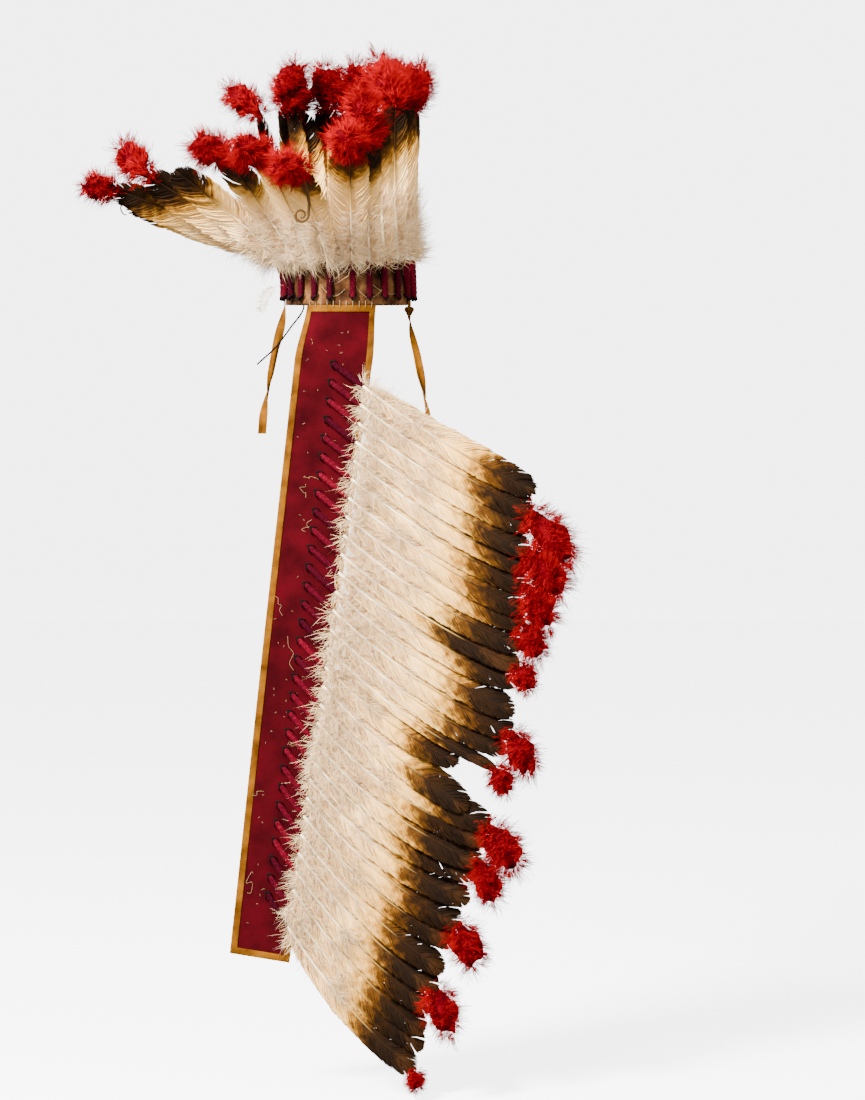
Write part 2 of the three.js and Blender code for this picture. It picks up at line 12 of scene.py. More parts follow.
import bpy
import numpy as np
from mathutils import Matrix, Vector


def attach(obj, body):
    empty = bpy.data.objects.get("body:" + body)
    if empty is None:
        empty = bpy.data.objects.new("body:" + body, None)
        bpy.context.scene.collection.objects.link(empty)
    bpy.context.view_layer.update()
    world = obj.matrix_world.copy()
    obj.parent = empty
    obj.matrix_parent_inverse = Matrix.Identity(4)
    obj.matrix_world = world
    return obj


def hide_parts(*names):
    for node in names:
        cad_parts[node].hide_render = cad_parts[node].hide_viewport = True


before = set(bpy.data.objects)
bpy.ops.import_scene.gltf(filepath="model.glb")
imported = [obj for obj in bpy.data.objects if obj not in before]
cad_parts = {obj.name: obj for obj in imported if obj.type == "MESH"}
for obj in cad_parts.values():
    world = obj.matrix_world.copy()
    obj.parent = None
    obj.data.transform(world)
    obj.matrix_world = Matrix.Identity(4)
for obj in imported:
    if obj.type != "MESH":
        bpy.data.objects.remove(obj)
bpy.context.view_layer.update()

MM = 0.001

# %% [markdown]
# ## Camera
# The photograph was taken from behind with a long lens. The camera could be moved until the view looks right,
# but then its lens and distance stay unknown. Here it looks along -Y, and its distance follows from the lens
# and from the height of the view at the plane of the feathers.

# %% Camera
LENS = 135
SENSOR = 36
VIEW_HEIGHT = 1.43
AIM = Vector((-0.111, 0.11, -0.3185))
ELEVATION = math.radians(3)

camera = bpy.data.objects.new("camera", bpy.data.cameras.new("camera"))
bpy.context.scene.collection.objects.link(camera)
bpy.context.scene.camera = camera
camera.data.lens = LENS
camera.data.sensor_width = SENSOR
camera.data.clip_end = 60
back = Vector((0, math.cos(ELEVATION), math.sin(ELEVATION)))
camera.location = AIM + back * (VIEW_HEIGHT * LENS / SENSOR)
camera.rotation_mode = "QUATERNION"
camera.rotation_quaternion = (-back).to_track_quat("-Z", "Y")
print("camera at", [round(x, 2) for x in camera.location])

# %% [markdown]
# ## Meshes from whole arrays
# A headdress is thousands of thin round things: barbs, strands, quills, laces. They could be curves with a
# bevel, but a few hundred thousand of those are slow. So every shape below is a loft: rings of points joined
# by triangles, closed at each end by a fan to a pole. `lofts` makes many at once, as one numpy array.
# Each point also carries three numbers, its "lie", that the materials read: how far along the feather it is,
# how far across, and a number drawn once for each barb.


# %% Vectors
def unit(v):
    """v / |v|"""
    return v / np.linalg.norm(v, axis=-1, keepdims=True)


def smooth(x, low, high):
    """3 t^2 - 2 t^3 with t = (x - low) / (high - low), held between 0 and 1"""
    t = np.clip((x - low) / (high - low), 0, 1)
    return t * t * (3 - 2 * t)


def rotate(v, axis, angle):
    """v cos a + (axis x v) sin a + axis (axis . v) (1 - cos a)"""
    c, s = np.cos(angle), np.sin(angle)
    return v * c + np.cross(axis, v) * s + axis * (axis * v).sum(-1, keepdims=True) * (1 - c)


print("a third of a turn takes +X to", rotate(np.array([1.0, 0, 0]), np.array([0, 0, 1.0]), 2.0944).round(2))


# %% Lofts
def lofts(rings, start, end, lie):
    """n closed bodies from rings[n, r, s, 3], with poles start[n, 3] and end[n, 3], and lie[n, r + 2, 3] for
    the start, each ring and the end. A body's triangles are turned round where its volume is negative."""
    n, r, s, _ = rings.shape
    side = np.arange(s)
    following = (side + 1) % s
    row = np.arange(r - 1)[:, None] * s
    a, b = row + side, row + following
    last = (r - 1) * s
    one = np.concatenate(
        [
            np.stack([a, b, b + s], -1).reshape(-1, 3),
            np.stack([a, b + s, a + s], -1).reshape(-1, 3),
            np.stack([np.full(s, r * s), following, side], -1),
            np.stack([np.full(s, r * s + 1), last + side, last + following], -1),
        ]
    )
    points = np.concatenate([rings.reshape(n, r * s, 3), start[:, None], end[:, None]], 1)
    corners = points[:, one] - start[:, None, None]
    volume = np.einsum("ntk,ntk->n", corners[:, :, 0], np.cross(corners[:, :, 1], corners[:, :, 2]))
    faces = np.where((volume < 0)[:, None, None], one[None, :, ::-1], one[None])
    faces = faces + ((r * s + 2) * np.arange(n))[:, None, None]
    lies = np.concatenate([np.repeat(lie[:, 1:-1], s, axis=1), lie[:, :1], lie[:, -1:]], 1)
    return points.reshape(-1, 3), faces.reshape(-1, 3), lies.reshape(-1, 3)


def plain_lie(n, r, value=0.5):
    """The same lie for the poles and rings of n bodies"""
    return np.full((n, r + 2, 3), value)


def lie_of(along, across, drawn):
    """The three numbers side by side, each a number or one for each body"""
    return np.stack(np.broadcast_arrays(along, across, drawn), -1)


print("the lie of a point half way along:", lie_of(0.5, 0.0, 0.5))


# %% Tubes
def tube(centre, wide, high, sides, lie=None):
    """One loft with rings centre + wide cos a + high sin a, for centre, wide and high[r, 3]"""
    angle = 2 * np.pi * np.arange(sides) / sides
    rings = (
        centre[:, None] + wide[:, None] * np.cos(angle)[:, None] + high[:, None] * np.sin(angle)[:, None]
    )
    lie = plain_lie(1, len(centre)) if lie is None else lie
    return lofts(rings[None], centre[:1], centre[-1:], lie)


def string(path, radius, sides=6):
    """A round tube along path[r, 3], with one radius or one for each point: its wide axis is the path's
    direction crossed with a fixed vector"""
    along = unit(np.gradient(path, axis=0))
    wide = unit(np.cross(along, [0.31, 0.87, 0.38])) * np.reshape(radius, (-1, 1))
    return tube(path, wide, np.cross(along, wide), sides)


one_tube = string(np.array([[0, 0, 0], [0, 0, 5], [0, 0, 10.0]]), 1.0)
print("a tube with three rings has", len(one_tube[0]), "points and", len(one_tube[1]), "triangles")


# %% Blades and smooth lines
def blades(root, end, bow, up, half, thick, at, lie_root, lie_end):
    """n thin three-sided blades. The middle of each is root + (end - root) q + bow 4 q (1 - q), and its rings
    stand at q = at, with the given half widths and half thickness."""
    q = np.asarray(at)[None, :, None]
    middle = root[:, None] + (end - root)[:, None] * q + bow[:, None] * (4 * q * (1 - q))
    along = unit(end - root)
    flat = unit(np.cross(along, up))
    high = np.cross(flat, along)
    angle = np.radians([90, 210, 330])
    across = np.cos(angle)[:, None] * flat[:, None, None] * np.asarray(half)[:, None, None]
    lift = np.sin(angle)[:, None] * high[:, None, None] * thick
    steps = np.concatenate([[0], at, [1]])[None, :, None]
    lie = lie_root[:, None] + (lie_end - lie_root)[:, None] * steps
    return lofts(middle[:, :, None] + across + lift, root, end, lie)


def through(points, steps):
    """A smooth line through points[n, 3]: a Catmull-Rom spline with the given steps between two points"""
    p = np.concatenate([2 * points[:1] - points[1:2], points, 2 * points[-1:] - points[-2:-1]])
    t = np.linspace(0, 1, steps, endpoint=False)[None, :, None]
    a, b, c, d = (p[i : len(p) - 3 + i, None] for i in range(4))
    line = 0.5 * (2 * b + (c - a) * t + (2 * a - 5 * b + 4 * c - d) * t**2 + (3 * b - a - 3 * c + d) * t**3)
    return np.concatenate([line.reshape(-1, 3), points[-1:]])


print("points of a smooth line through three:", len(through(np.eye(3), 4)))


# %% One piece from many shapes


def piece(name, shapes, nodes=()):
    """Joins shapes, a list of (points, faces, lie) with a material, into one object that rides on the body"""
    materials = list(dict.fromkeys(material for _, material in shapes))
    points, faces, lies, slots, count = [], [], [], [], 0
    for (p, f, lie), material in shapes:
        points.append(p)
        faces.append(f + count)
        lies.append(lie)
        slots.append(np.full(len(f), materials.index(material)))
        count += len(p)
    points, faces, lies = np.concatenate(points), np.concatenate(faces), np.concatenate(lies)
    mesh = bpy.data.meshes.new(name)
    mesh.vertices.add(len(points))
    mesh.vertices.foreach_set("co", (points * MM).astype(np.float32).ravel())
    mesh.loops.add(3 * len(faces))
    mesh.loops.foreach_set("vertex_index", faces.astype(np.int32).ravel())
    mesh.polygons.add(len(faces))
    mesh.polygons.foreach_set("loop_start", np.arange(0, 3 * len(faces), 3, dtype=np.int32))
    for material in materials:
        mesh.materials.append(material)
    mesh.polygons.foreach_set("material_index", np.concatenate(slots).astype(np.int32))
    mesh.polygons.foreach_set("use_smooth", np.ones(len(faces), bool))
    held = mesh.attributes.new("lie", "FLOAT_VECTOR", "POINT")
    held.data.foreach_set("vector", lies.astype(np.float32).ravel())
    mesh.update()
    mesh.validate()
    made = bpy.data.objects.new(name, mesh)
    bpy.context.scene.collection.objects.link(made)
    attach(made, "root")
    if nodes:
        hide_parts(*nodes)
    return made


# %% [markdown]
# ## Materials
# The real things are horn-like keratin in feathers and down, wool, cotton and tanned hide. All are matt, so
# each material is a Principled BSDF with a high roughness, hardly any highlight and a colour mixed from a few
# hex values. Photographs could be wrapped round the pieces, but patterns made by nodes have no seams and take
# their scale from the real thing: a nap of about a millimetre, soiling in patches of a few centimetres.


# %% Material helpers
MATT = 0.03


def rgb(hex_code):
    """sRGB hex to linear: c / 12.92 below 0.04045, else ((c + 0.055) / 1.055)^2.4"""
    srgb = [int(hex_code[i : i + 2], 16) / 255 for i in (1, 3, 5)]
    return [c / 12.92 if c < 0.04045 else ((c + 0.055) / 1.055) ** 2.4 for c in srgb] + [1]


def new_material(name, roughness, sheen=0.0):
    """A Principled BSDF with hardly any highlight, because nothing here is polished"""
    made = bpy.data.materials.new(name)
    made.use_nodes = True
    shader = made.node_tree.nodes["Principled BSDF"]
    shader.inputs["Roughness"].default_value = roughness
    shader.inputs["Sheen Weight"].default_value = sheen
    shader.inputs["Specular IOR Level"].default_value = MATT
    return made


def add(material, kind, inputs=(), stops=(), **fields):
    """Adds a node and sets its fields. An input that is a node is linked from its first output, one that is a
    socket is linked, and any other is set. stops are a colour ramp's, each a place and a hex value."""
    tree = material.node_tree
    node = tree.nodes.new("ShaderNode" + kind)
    for field, value in fields.items():
        setattr(node, field, value)
    for key, value in dict(inputs).items():
        value = value.outputs[0] if isinstance(value, bpy.types.Node) else value
        if isinstance(value, bpy.types.NodeSocket):
            tree.links.new(value, node.inputs[key])
        else:
            node.inputs[key].default_value = value
    elements = node.color_ramp.elements if stops else ()
    while len(elements) < len(stops):
        elements.new(0.5)
    for element, (place, hex_code) in zip(elements, stops):
        element.position = place
        element.color = rgb(hex_code)
    return node


def read_by(material):
    """What a material's patterns read: the place in object coordinates, and the lie's three numbers"""
    lie = add(material, "Attribute", attribute_name="lie").outputs["Vector"]
    return add(material, "TexCoord").outputs["Object"], *add(material, "SeparateXYZ", {0: lie}).outputs


def feed(material, **sockets):
    """Links sockets to the Principled BSDF's inputs, with _ for a space in a name, and gives the material"""
    shader = material.node_tree.nodes["Principled BSDF"]
    for key, socket in sockets.items():
        material.node_tree.links.new(socket, shader.inputs[key.replace("_", " ")])
    return material


print("matt materials: specular level", MATT)


# %% Vane: keratin, grown. The eye sees cream barbs that turn gold and then dark brown at a ragged line
VANE_STOPS = [
    (0.0, "#FFDDA2"),
    (0.45, "#FFD58E"),
    (0.57, "#EEBE6C"),
    (0.635, "#B17F30"),
    (0.695, "#533410"),
    (0.78, "#211408"),
    (0.92, "#130C07"),
    (1.0, "#2C1A0B"),
]
TONE_STOPS = [(0.05, "#A8844E"), (0.4, "#F0DAB2"), (0.75, "#FFFFFF")]
BLOTCH, FLECK = 11, 3


def vane_material():
    """The place on the colour ramp is along + 0.2 blotch + 0.12 drawn - 0.03 across - 0.16"""
    m = new_material("feather_vane", 0.8)
    where, along, across, drawn = read_by(m)
    blotch = add(m, "TexNoise", {"Vector": where, "Scale": 1 / (BLOTCH * MM), "Detail": 2})
    fleck = add(m, "TexNoise", {"Vector": where, "Scale": 1 / (FLECK * MM), "Detail": 2})
    ragged = add(m, "Math", {0: blotch, 1: 0.2, 2: -0.16}, operation="MULTIPLY_ADD")
    ragged = add(m, "Math", {0: drawn, 1: 0.12, 2: ragged}, operation="MULTIPLY_ADD")
    ragged = add(m, "Math", {0: across, 1: -0.03, 2: ragged}, operation="MULTIPLY_ADD")
    place = add(m, "Math", {0: along, 1: ragged}, operation="ADD")
    tone = add(m, "Math", {0: fleck, 1: 0.5, 2: -0.2}, operation="MULTIPLY_ADD")
    tone = add(m, "Math", {0: drawn, 1: 0.8, 2: tone}, operation="MULTIPLY_ADD")
    colour = add(m, "ValToRGB", {0: place}, VANE_STOPS)
    shade = add(m, "ValToRGB", {0: tone}, TONE_STOPS)
    both = add(m, "Mix", {0: 0.6, 6: colour, 7: shade}, data_type="RGBA", blend_type="MULTIPLY")
    return feed(m, Base_Color=both.outputs[2])


VANE = vane_material()
print(VANE.name, "nodes:", len(VANE.node_tree.nodes))

# %% Shaft: keratin, grown, smoother than the barbs. A pale rib that is dark only in the feather's tip
SHAFT_STOPS = [(0.0, "#1C1009"), (0.24, "#2C1A0C"), (0.38, "#B99450"), (0.55, "#FFEDBE"), (1.0, "#FFF8DC")]


def shaft_material():
    m = new_material("feather_shaft", 0.5)
    _, along, _, _ = read_by(m)
    return feed(m, Base_Color=add(m, "ValToRGB", {0: along}, SHAFT_STOPS).outputs[0])


SHAFT = shaft_material()
print(SHAFT.name, "stops:", len(SHAFT_STOPS))

# %% Wrap: wool, dyed red and wound. Fuzzy, with its nap drawn 1.6 mm coarse so that it shows
WOUND_NAP = 1.6


def wrap_material():
    m = new_material("wound_red_wool", 0.95)
    where, _, _, drawn = read_by(m)
    nap = add(m, "TexNoise", {"Vector": where, "Scale": 1 / (WOUND_NAP * MM), "Detail": 3})
    # The colour and the bump read the same nap noise, so the wool is darkest in the bump's hollows: painted
    # shade; drawn gives each wrap its own tone
    tone = add(m, "Math", {0: nap, 1: 1.1, 2: -0.3}, operation="MULTIPLY_ADD")
    tone = add(m, "Math", {0: drawn, 1: 0.3, 2: tone}, operation="MULTIPLY_ADD")
    colour = add(m, "ValToRGB", {0: tone}, [(0.1, "#100107"), (0.45, "#3C0410"), (0.8, "#74081A")])
    relief = add(m, "Bump", {"Height": nap, "Distance": 0.8 * MM, "Strength": 0.8})
    return feed(m, Base_Color=colour.outputs[0], Normal=relief.outputs[0])


WRAP = wrap_material()
print(WRAP.name, "nap, mm:", WOUND_NAP)


# %% Strands: down, quills, plumes, laces and threads
def strand_material(name, dark, light, roughness, sheen=0.2, patch=12):
    """The place between dark and light is 0.55 along + 0.25 drawn + 0.4 noise - 0.1, so that strands differ
    from each other and, where their lie runs along them, are darker at their roots: painted shade deep in a
    tuft"""
    m = new_material(name, roughness, sheen)
    where, along, _, drawn = read_by(m)
    noise = add(m, "TexNoise", {"Vector": where, "Scale": 1 / (patch * MM), "Detail": 2})
    place = add(m, "Math", {0: noise, 1: 0.4, 2: -0.1}, operation="MULTIPLY_ADD")
    place = add(m, "Math", {0: drawn, 1: 0.25, 2: place}, operation="MULTIPLY_ADD")
    place = add(m, "Math", {0: along, 1: 0.55, 2: place}, operation="MULTIPLY_ADD")
    return feed(m, Base_Color=add(m, "ValToRGB", {0: place}, [(0.0, dark), (1.0, light)]).outputs[0])


# Down, grown: soft strands with a faint sheen, pale at their ends; the warm tan towards their roots is painted
# shade deep in the down
DOWN = strand_material("white_down", "#D8A662", "#FFE2B2", 0.9)
# A quill, stripped and curled: brown horn that is nearly black where it is old
QUILL = strand_material("stripped_quill", "#170E08", "#5E421E", 0.5, 0.0)
# Down dyed scarlet, with no sheen; the near black between the strands and in the core is painted shade
PLUME = strand_material("dyed_plume_and_painted_shade", "#220004", "#A6000C", 1.0, 0.0)
# Hide, smoked and cut into a lace: nearly black
LACE = strand_material("dark_hide_lace", "#050303", "#16100E", 0.8, 0.0, 4)
# Cotton or sinew, spun and undyed: a dull straw colour
THREAD = strand_material("undyed_thread", "#5E4624", "#B49A6C", 0.8, 0.0, 4)
print("strand materials:", DOWN.name, QUILL.name, PLUME.name, LACE.name, THREAD.name)


# %% Cloth and hide: soiled in patches, with a fine grain over them
def soiled_material(name, roughness, patch, stops, grain, grain_dark, share, relief):
    """Patches of (size, detail) times a grain of (size, detail) by a share, and a bump of (size, detail,
    distance, strength)"""
    m = new_material(name, roughness)
    where = add(m, "TexCoord").outputs["Object"]
    noises = [
        add(m, "TexNoise", {"Vector": where, "Scale": 1 / (size * MM), "Detail": detail})
        for size, detail in (patch, grain, relief[:2])
    ]
    colour = add(m, "ValToRGB", {0: noises[0]}, stops)
    shade = add(m, "ValToRGB", {0: noises[1]}, [(0.3, grain_dark), (0.7, "#FFFFFF")])
    both = add(m, "Mix", {0: share, 6: colour, 7: shade}, data_type="RGBA", blend_type="MULTIPLY")
    bump = add(m, "Bump", {"Height": noises[2], "Distance": relief[2] * MM, "Strength": relief[3]})
    return feed(m, Base_Color=both.outputs[2], Normal=bump.outputs[0])


# Wool cloth, woven and milled: the nap hides the weave, and the red is deep and even. The grain and the bump
# read the same noise, so the grain's darker spots lie in the bump's hollows: painted shade in the nap
wool_stops = [(0.3, "#280205"), (0.7, "#42040C")]
nap = (1.1, 3)
WOOL = soiled_material("milled_red_wool", 0.95, (35, 4), wool_stops, nap, "#B8B8B8", 0.6, (*nap, 0.5, 0.6))
# Cotton ribbon, plain woven: its weave of half a millimetre is drawn 0.8 mm coarse so that it shows
cotton_stops = [(0.3, "#452503"), (0.7, "#7E4C06")]
RIBBON = soiled_material(
    "ochre_ribbon_cotton", 0.8, (22, 4), cotton_stops, (0.8, 2), "#C8C8C8", 0.5, (3, 3, 0.5, 0.5)
)
# Hide, tanned and rubbed with ochre: brown, darker where hands have held it, with a pebbled grain
hide_stops = [(0.34, "#180C07"), (0.5, "#4E2E18"), (0.68, "#7E5530")]
pebbles = (2.5, 4, 0.6, 0.7)
HIDE = soiled_material("brown_ochre_hide", 0.85, (26, 5), hide_stops, (2, 3), "#B0B0B0", 0.5, pebbles)
print("cloth and hide materials:", WOOL.name, RIBBON.name, HIDE.name)

# %% [markdown]
# ## The lace end
# On the real headdress a stiff dark lace sticks out under the rim.

# %% The lace end
LACE_RADIUS = 1.2
LACE_X = [57, 57.2, 58.6, 61.4, 65, 69, 73, 77, 81, 85, 89, 93.4, 98.2, 103.2, 108.2, 113.2, 118]
LACE_Y = [70.7, 70.8, 71, 71.4, 72, 72.6, 73, 73.4, 73.8, 74, 74.2, 74.4, 74.6, 74.8, 75, 75, 75]
LACE_Z = [-0.3, -4, -8, -13, -18, -23, -28, -33.5, -39, -44.5, -50, -55, -60, -64.6, -69, -73.4, -78]
LACE_ROUTE = np.stack([LACE_X, LACE_Y, LACE_Z], -1)
lace_path = through(LACE_ROUTE, 4)
lace_end = piece("lace_end_lace", [(string(lace_path, LACE_RADIUS, 8), LACE)], ["lace_end"])

# %% [markdown]
# ## The cap
# A thin hide cap, folded up outside at the rim as a cuff. It could be sculpted, or draped by a simulation, but
# the wraps lie on it with little room, so its wrinkles are sines that push the hide inwards by up to about a
# millimetre. Its plan is an ellipse of 158 by 194 mm, and its outline from rim to top is a superellipse,
# reach = (1 - h^3)^(1 / 2.3).

# %% The cap's plan
CLEARANCE = 0.3
HALF_WIDTH = 79
HALF_LENGTH = 97
CAP_WALL = 2.5
CAP_HEIGHT = 116
CUFF_HEIGHT = 38
CUFF_THICKNESS = 2
CUFF_TOP_REACH = 0.978
CUFF_RINGS = 14
CAP_SIDES = 144


def on_plan(azimuth, offset, reach=1.0):
    """(-(79 reach + offset) sin a, (97 reach + offset) cos a, 0), with a in degrees from the back"""
    a = np.radians(azimuth)
    x = -(HALF_WIDTH * reach + offset) * np.sin(a)
    y = (HALF_LENGTH * reach + offset) * np.cos(a)
    return np.stack([x, y, 0 * x * y], -1)


def outwards(azimuth, offset):
    """The plan's outward direction: the unit of (-sin a / (79 + offset), cos a / (97 + offset), 0)"""
    a = np.radians(azimuth)
    x, y = -np.sin(a) / (HALF_WIDTH + offset), np.cos(a) / (HALF_LENGTH + offset)
    return unit(np.stack([x, y, 0 * x], -1))


print("the rim at the back and at the wearer's right, mm:", on_plan(0, 0)[1], on_plan(90, 0)[0])


# %% The cap's shell
def cap_shape():
    """Rings of (reach, offset, height). Those of the inner wall are reversed, so the shell runs from the inner
    top down to the rim, out under the cuff, up the cuff and over the outside to the top."""
    h = np.concatenate([np.linspace(0, 0.8, 17), [0.87, 0.92, 0.96, 0.985, 0.997]])
    reach = (1 - h**3) ** (1 / 2.3)
    inside = np.stack([reach, 0 * h, h * (CAP_HEIGHT - CAP_WALL)], -1)[::-1]
    cuff_offset = CAP_WALL + CUFF_THICKNESS
    z = np.linspace(0, CUFF_HEIGHT, CUFF_RINGS)
    lean = 1 + (CUFF_TOP_REACH - 1) * z / CUFF_HEIGHT
    cuff = np.stack([lean, 0 * z + cuff_offset, z], -1)
    fold_outside = [CUFF_TOP_REACH, cuff_offset - 0.7, CUFF_HEIGHT + 0.8]
    fold = np.array([fold_outside, [CUFF_TOP_REACH, CAP_WALL + 0.1, CUFF_HEIGHT + 0.4]])
    outside = np.stack([reach, 0 * h + CAP_WALL, h * CAP_HEIGHT], -1)
    outside = outside[outside[:, 2] > CUFF_HEIGHT + 2]
    rows = np.concatenate([inside, cuff, fold, outside])
    azimuth = np.linspace(0, 360, CAP_SIDES, endpoint=False)
    a = np.radians(azimuth)[None]
    z = rows[:, 2:3]
    wrinkle = np.sin(5 * a + 0.09 * z) * np.sin(0.16 * z + 3 * a) + 0.6 * np.sin(17 * a + 0.21 * z + 1)
    wrinkle = wrinkle + 0.5 * np.sin(31 * a - 0.05 * z) * np.sin(0.4 * z)
    outer = (np.arange(len(rows)) >= len(inside))[:, None]
    push = np.where(outer, -0.45 + 0.3 * wrinkle, 0.0)
    ring = on_plan(azimuth[None], rows[:, 1:2] + push, rows[:, 0:1])
    ring[..., 2] = z + np.where(z < 1, 0.0, 0.25 * np.sin(9 * a))
    poles = np.array([[[0, 0, CAP_HEIGHT - CAP_WALL]], [[0, 0, CAP_HEIGHT]]], float)
    return lofts(ring[None], poles[0], poles[1], plain_lie(1, len(rows)))


cap = piece("skull_cap_hide", [(cap_shape(), HIDE)], ["skull_cap"])
print("cap faces:", len(cap.data.polygons))

# %% [markdown]
# ## The line of a feather
# A feather springs from its wrap, turns to where it was bent, and curls outwards on the way. This could be
# a curve drawn by hand for each feather, but fifty-four of them follow two tables more evenly. The line is 61
# stations, each with a point and three axes: along, side and face. All parts of a feather are laid on it.

# %% The line of a feather
STEPS = 60
WRAP_RADIUS = 4.1
WRAP_LENGTH = 50
VANE_TURNS_FROM = 0.18
VANE_TURNS_BY = 0.42


def feather_line(root, start, end, out, turn_from, turn_to, curl, length, roll, vane_turn=0.0, bend=0.0):
    """along = start turned towards end by smooth(share) of the angle between them, then towards out by
    curl * share; point[n + 1] = point[n] + along[n] length / 60 + side bend (share^2). Axes are turned about
    along by -(roll + vane_turn smooth(share, 0.18, 0.42))."""
    share = np.linspace(0, 1, STEPS + 1)[:, None]
    axis = unit(np.cross(start, end))
    angle = np.arccos(np.clip(start @ end, -1, 1))
    along = rotate(np.tile(start, (STEPS + 1, 1)), axis, angle * smooth(share, turn_from, turn_to))
    along = rotate(along, unit(np.cross(along, out)), np.radians(curl) * share)
    side = unit(np.cross(along, out))
    face = np.cross(side, along)
    rolled = -np.radians(roll + vane_turn * smooth(share, VANE_TURNS_FROM, VANE_TURNS_BY))
    side, face = rotate(side, along, rolled), rotate(face, along, rolled)
    point = root + np.concatenate([np.zeros((1, 3)), np.cumsum(along[:-1], 0)]) * length / STEPS
    point = point + side * bend * share**2
    return {"point": point, "along": along, "side": side, "face": face, "length": length}


def read(line, share):
    """The point and the axes at any shares of the length, by straight lines between the stations"""
    place = np.clip(np.asarray(share, float), 0, 1) * STEPS
    low = np.minimum(place.astype(int), STEPS - 1)
    part = (place - low)[..., None]
    return [line[k][low] * (1 - part) + line[k][low + 1] * part for k in ("point", "along", "side", "face")]


print("stations on a line:", STEPS + 1, "and a wrap, mm:", 2 * WRAP_RADIUS, "by", WRAP_LENGTH)


# %% [markdown]
# ## The parts of a prepared feather
# From the root: a quill end wound with red cloth, loose down, a vane of separate barbs on a tapering shaft,
# and a dyed plume tied to the tip. A flat card with a cut-out picture is the usual quick way, but it shows
# from the side, so each barb is a thin solid blade. Barbs leave the shaft at a slant and overlap like slates.
# Here and there the vane splits, more so towards the tip.

# %% Wrap and shaft
WRAP_TURNS = 7
WOUND_RADIUS = 3.8
WOUND_LAYER = 0.7
WRAP_RINGS = 30
WRAP_SIDES = 12
SHAFT_RINGS = 22


def wrap_shape(line, wrap_share, rng):
    """A wound tube: the radius is 3.8 + 0.7 frac(7 t - angle / 2 pi), drawn in at both ends"""
    t = np.linspace(0, 1, WRAP_RINGS)[:, None]
    angle = 2 * np.pi * np.arange(WRAP_SIDES) / WRAP_SIDES
    point, _, side, face = read(line, t[:, 0] * wrap_share)
    wound = (WRAP_TURNS * t - angle / (2 * np.pi) + rng.random()) % 1
    drawn_in = 0.72 + 0.28 * np.sin(np.pi * (0.03 + 0.94 * t)) ** 0.3
    radius = (WOUND_RADIUS + WOUND_LAYER * wound) * drawn_in
    ring = point[:, None] + radius[..., None] * (
        np.cos(angle)[:, None] * side[:, None] + np.sin(angle)[:, None] * face[:, None]
    )
    lie = plain_lie(1, WRAP_RINGS)
    lie[..., 2] = rng.random()
    return lofts(ring[None], point[:1], point[-1:], lie)


def shaft_shape(line, wrap_share):
    """A tapering tube on the outer face of the vane, from the wrap to just short of the tip"""
    share = np.linspace(wrap_share * 0.95, 0.985, SHAFT_RINGS)
    point, _, side, face = read(line, share)
    radius = np.interp(share, [0, 1], [2.2, 0.5])[:, None]
    lie = plain_lie(1, SHAFT_RINGS)
    lie[..., 0] = 1 - np.concatenate([share[:1], share, share[-1:]])
    return tube(point + face * 0.8 * radius, side * radius, face * radius, 6, lie)


print("a wrap's triangles:", 2 * WRAP_SIDES * WRAP_RINGS)

# %% Vane
VANE_HALF = 25
OVER_WIDTH = 0.8
VANE_AT = [0.0, 0.06, 0.22, 0.38, 0.52, 0.68, 0.82, 0.9, 0.96, 1.0]
VANE_WIDTH = [0.4, 0.52, 0.7, 0.88, 0.97, 1.0, 0.97, 0.88, 0.7, 0.45]
BARBS = 108
SLANT = 0.16
ROUND_FROM = 0.8
BLADE_AT = [0.008, 0.5, 0.9]
BLADE_HALF = [1.3, 1.35, 1.1]
BLADE_THICK = 0.16


def vane_half(at, width):
    """25 width times the vane's outline at a share of its length"""
    return VANE_HALF * width * np.interp(at, VANE_AT, VANE_WIDTH)


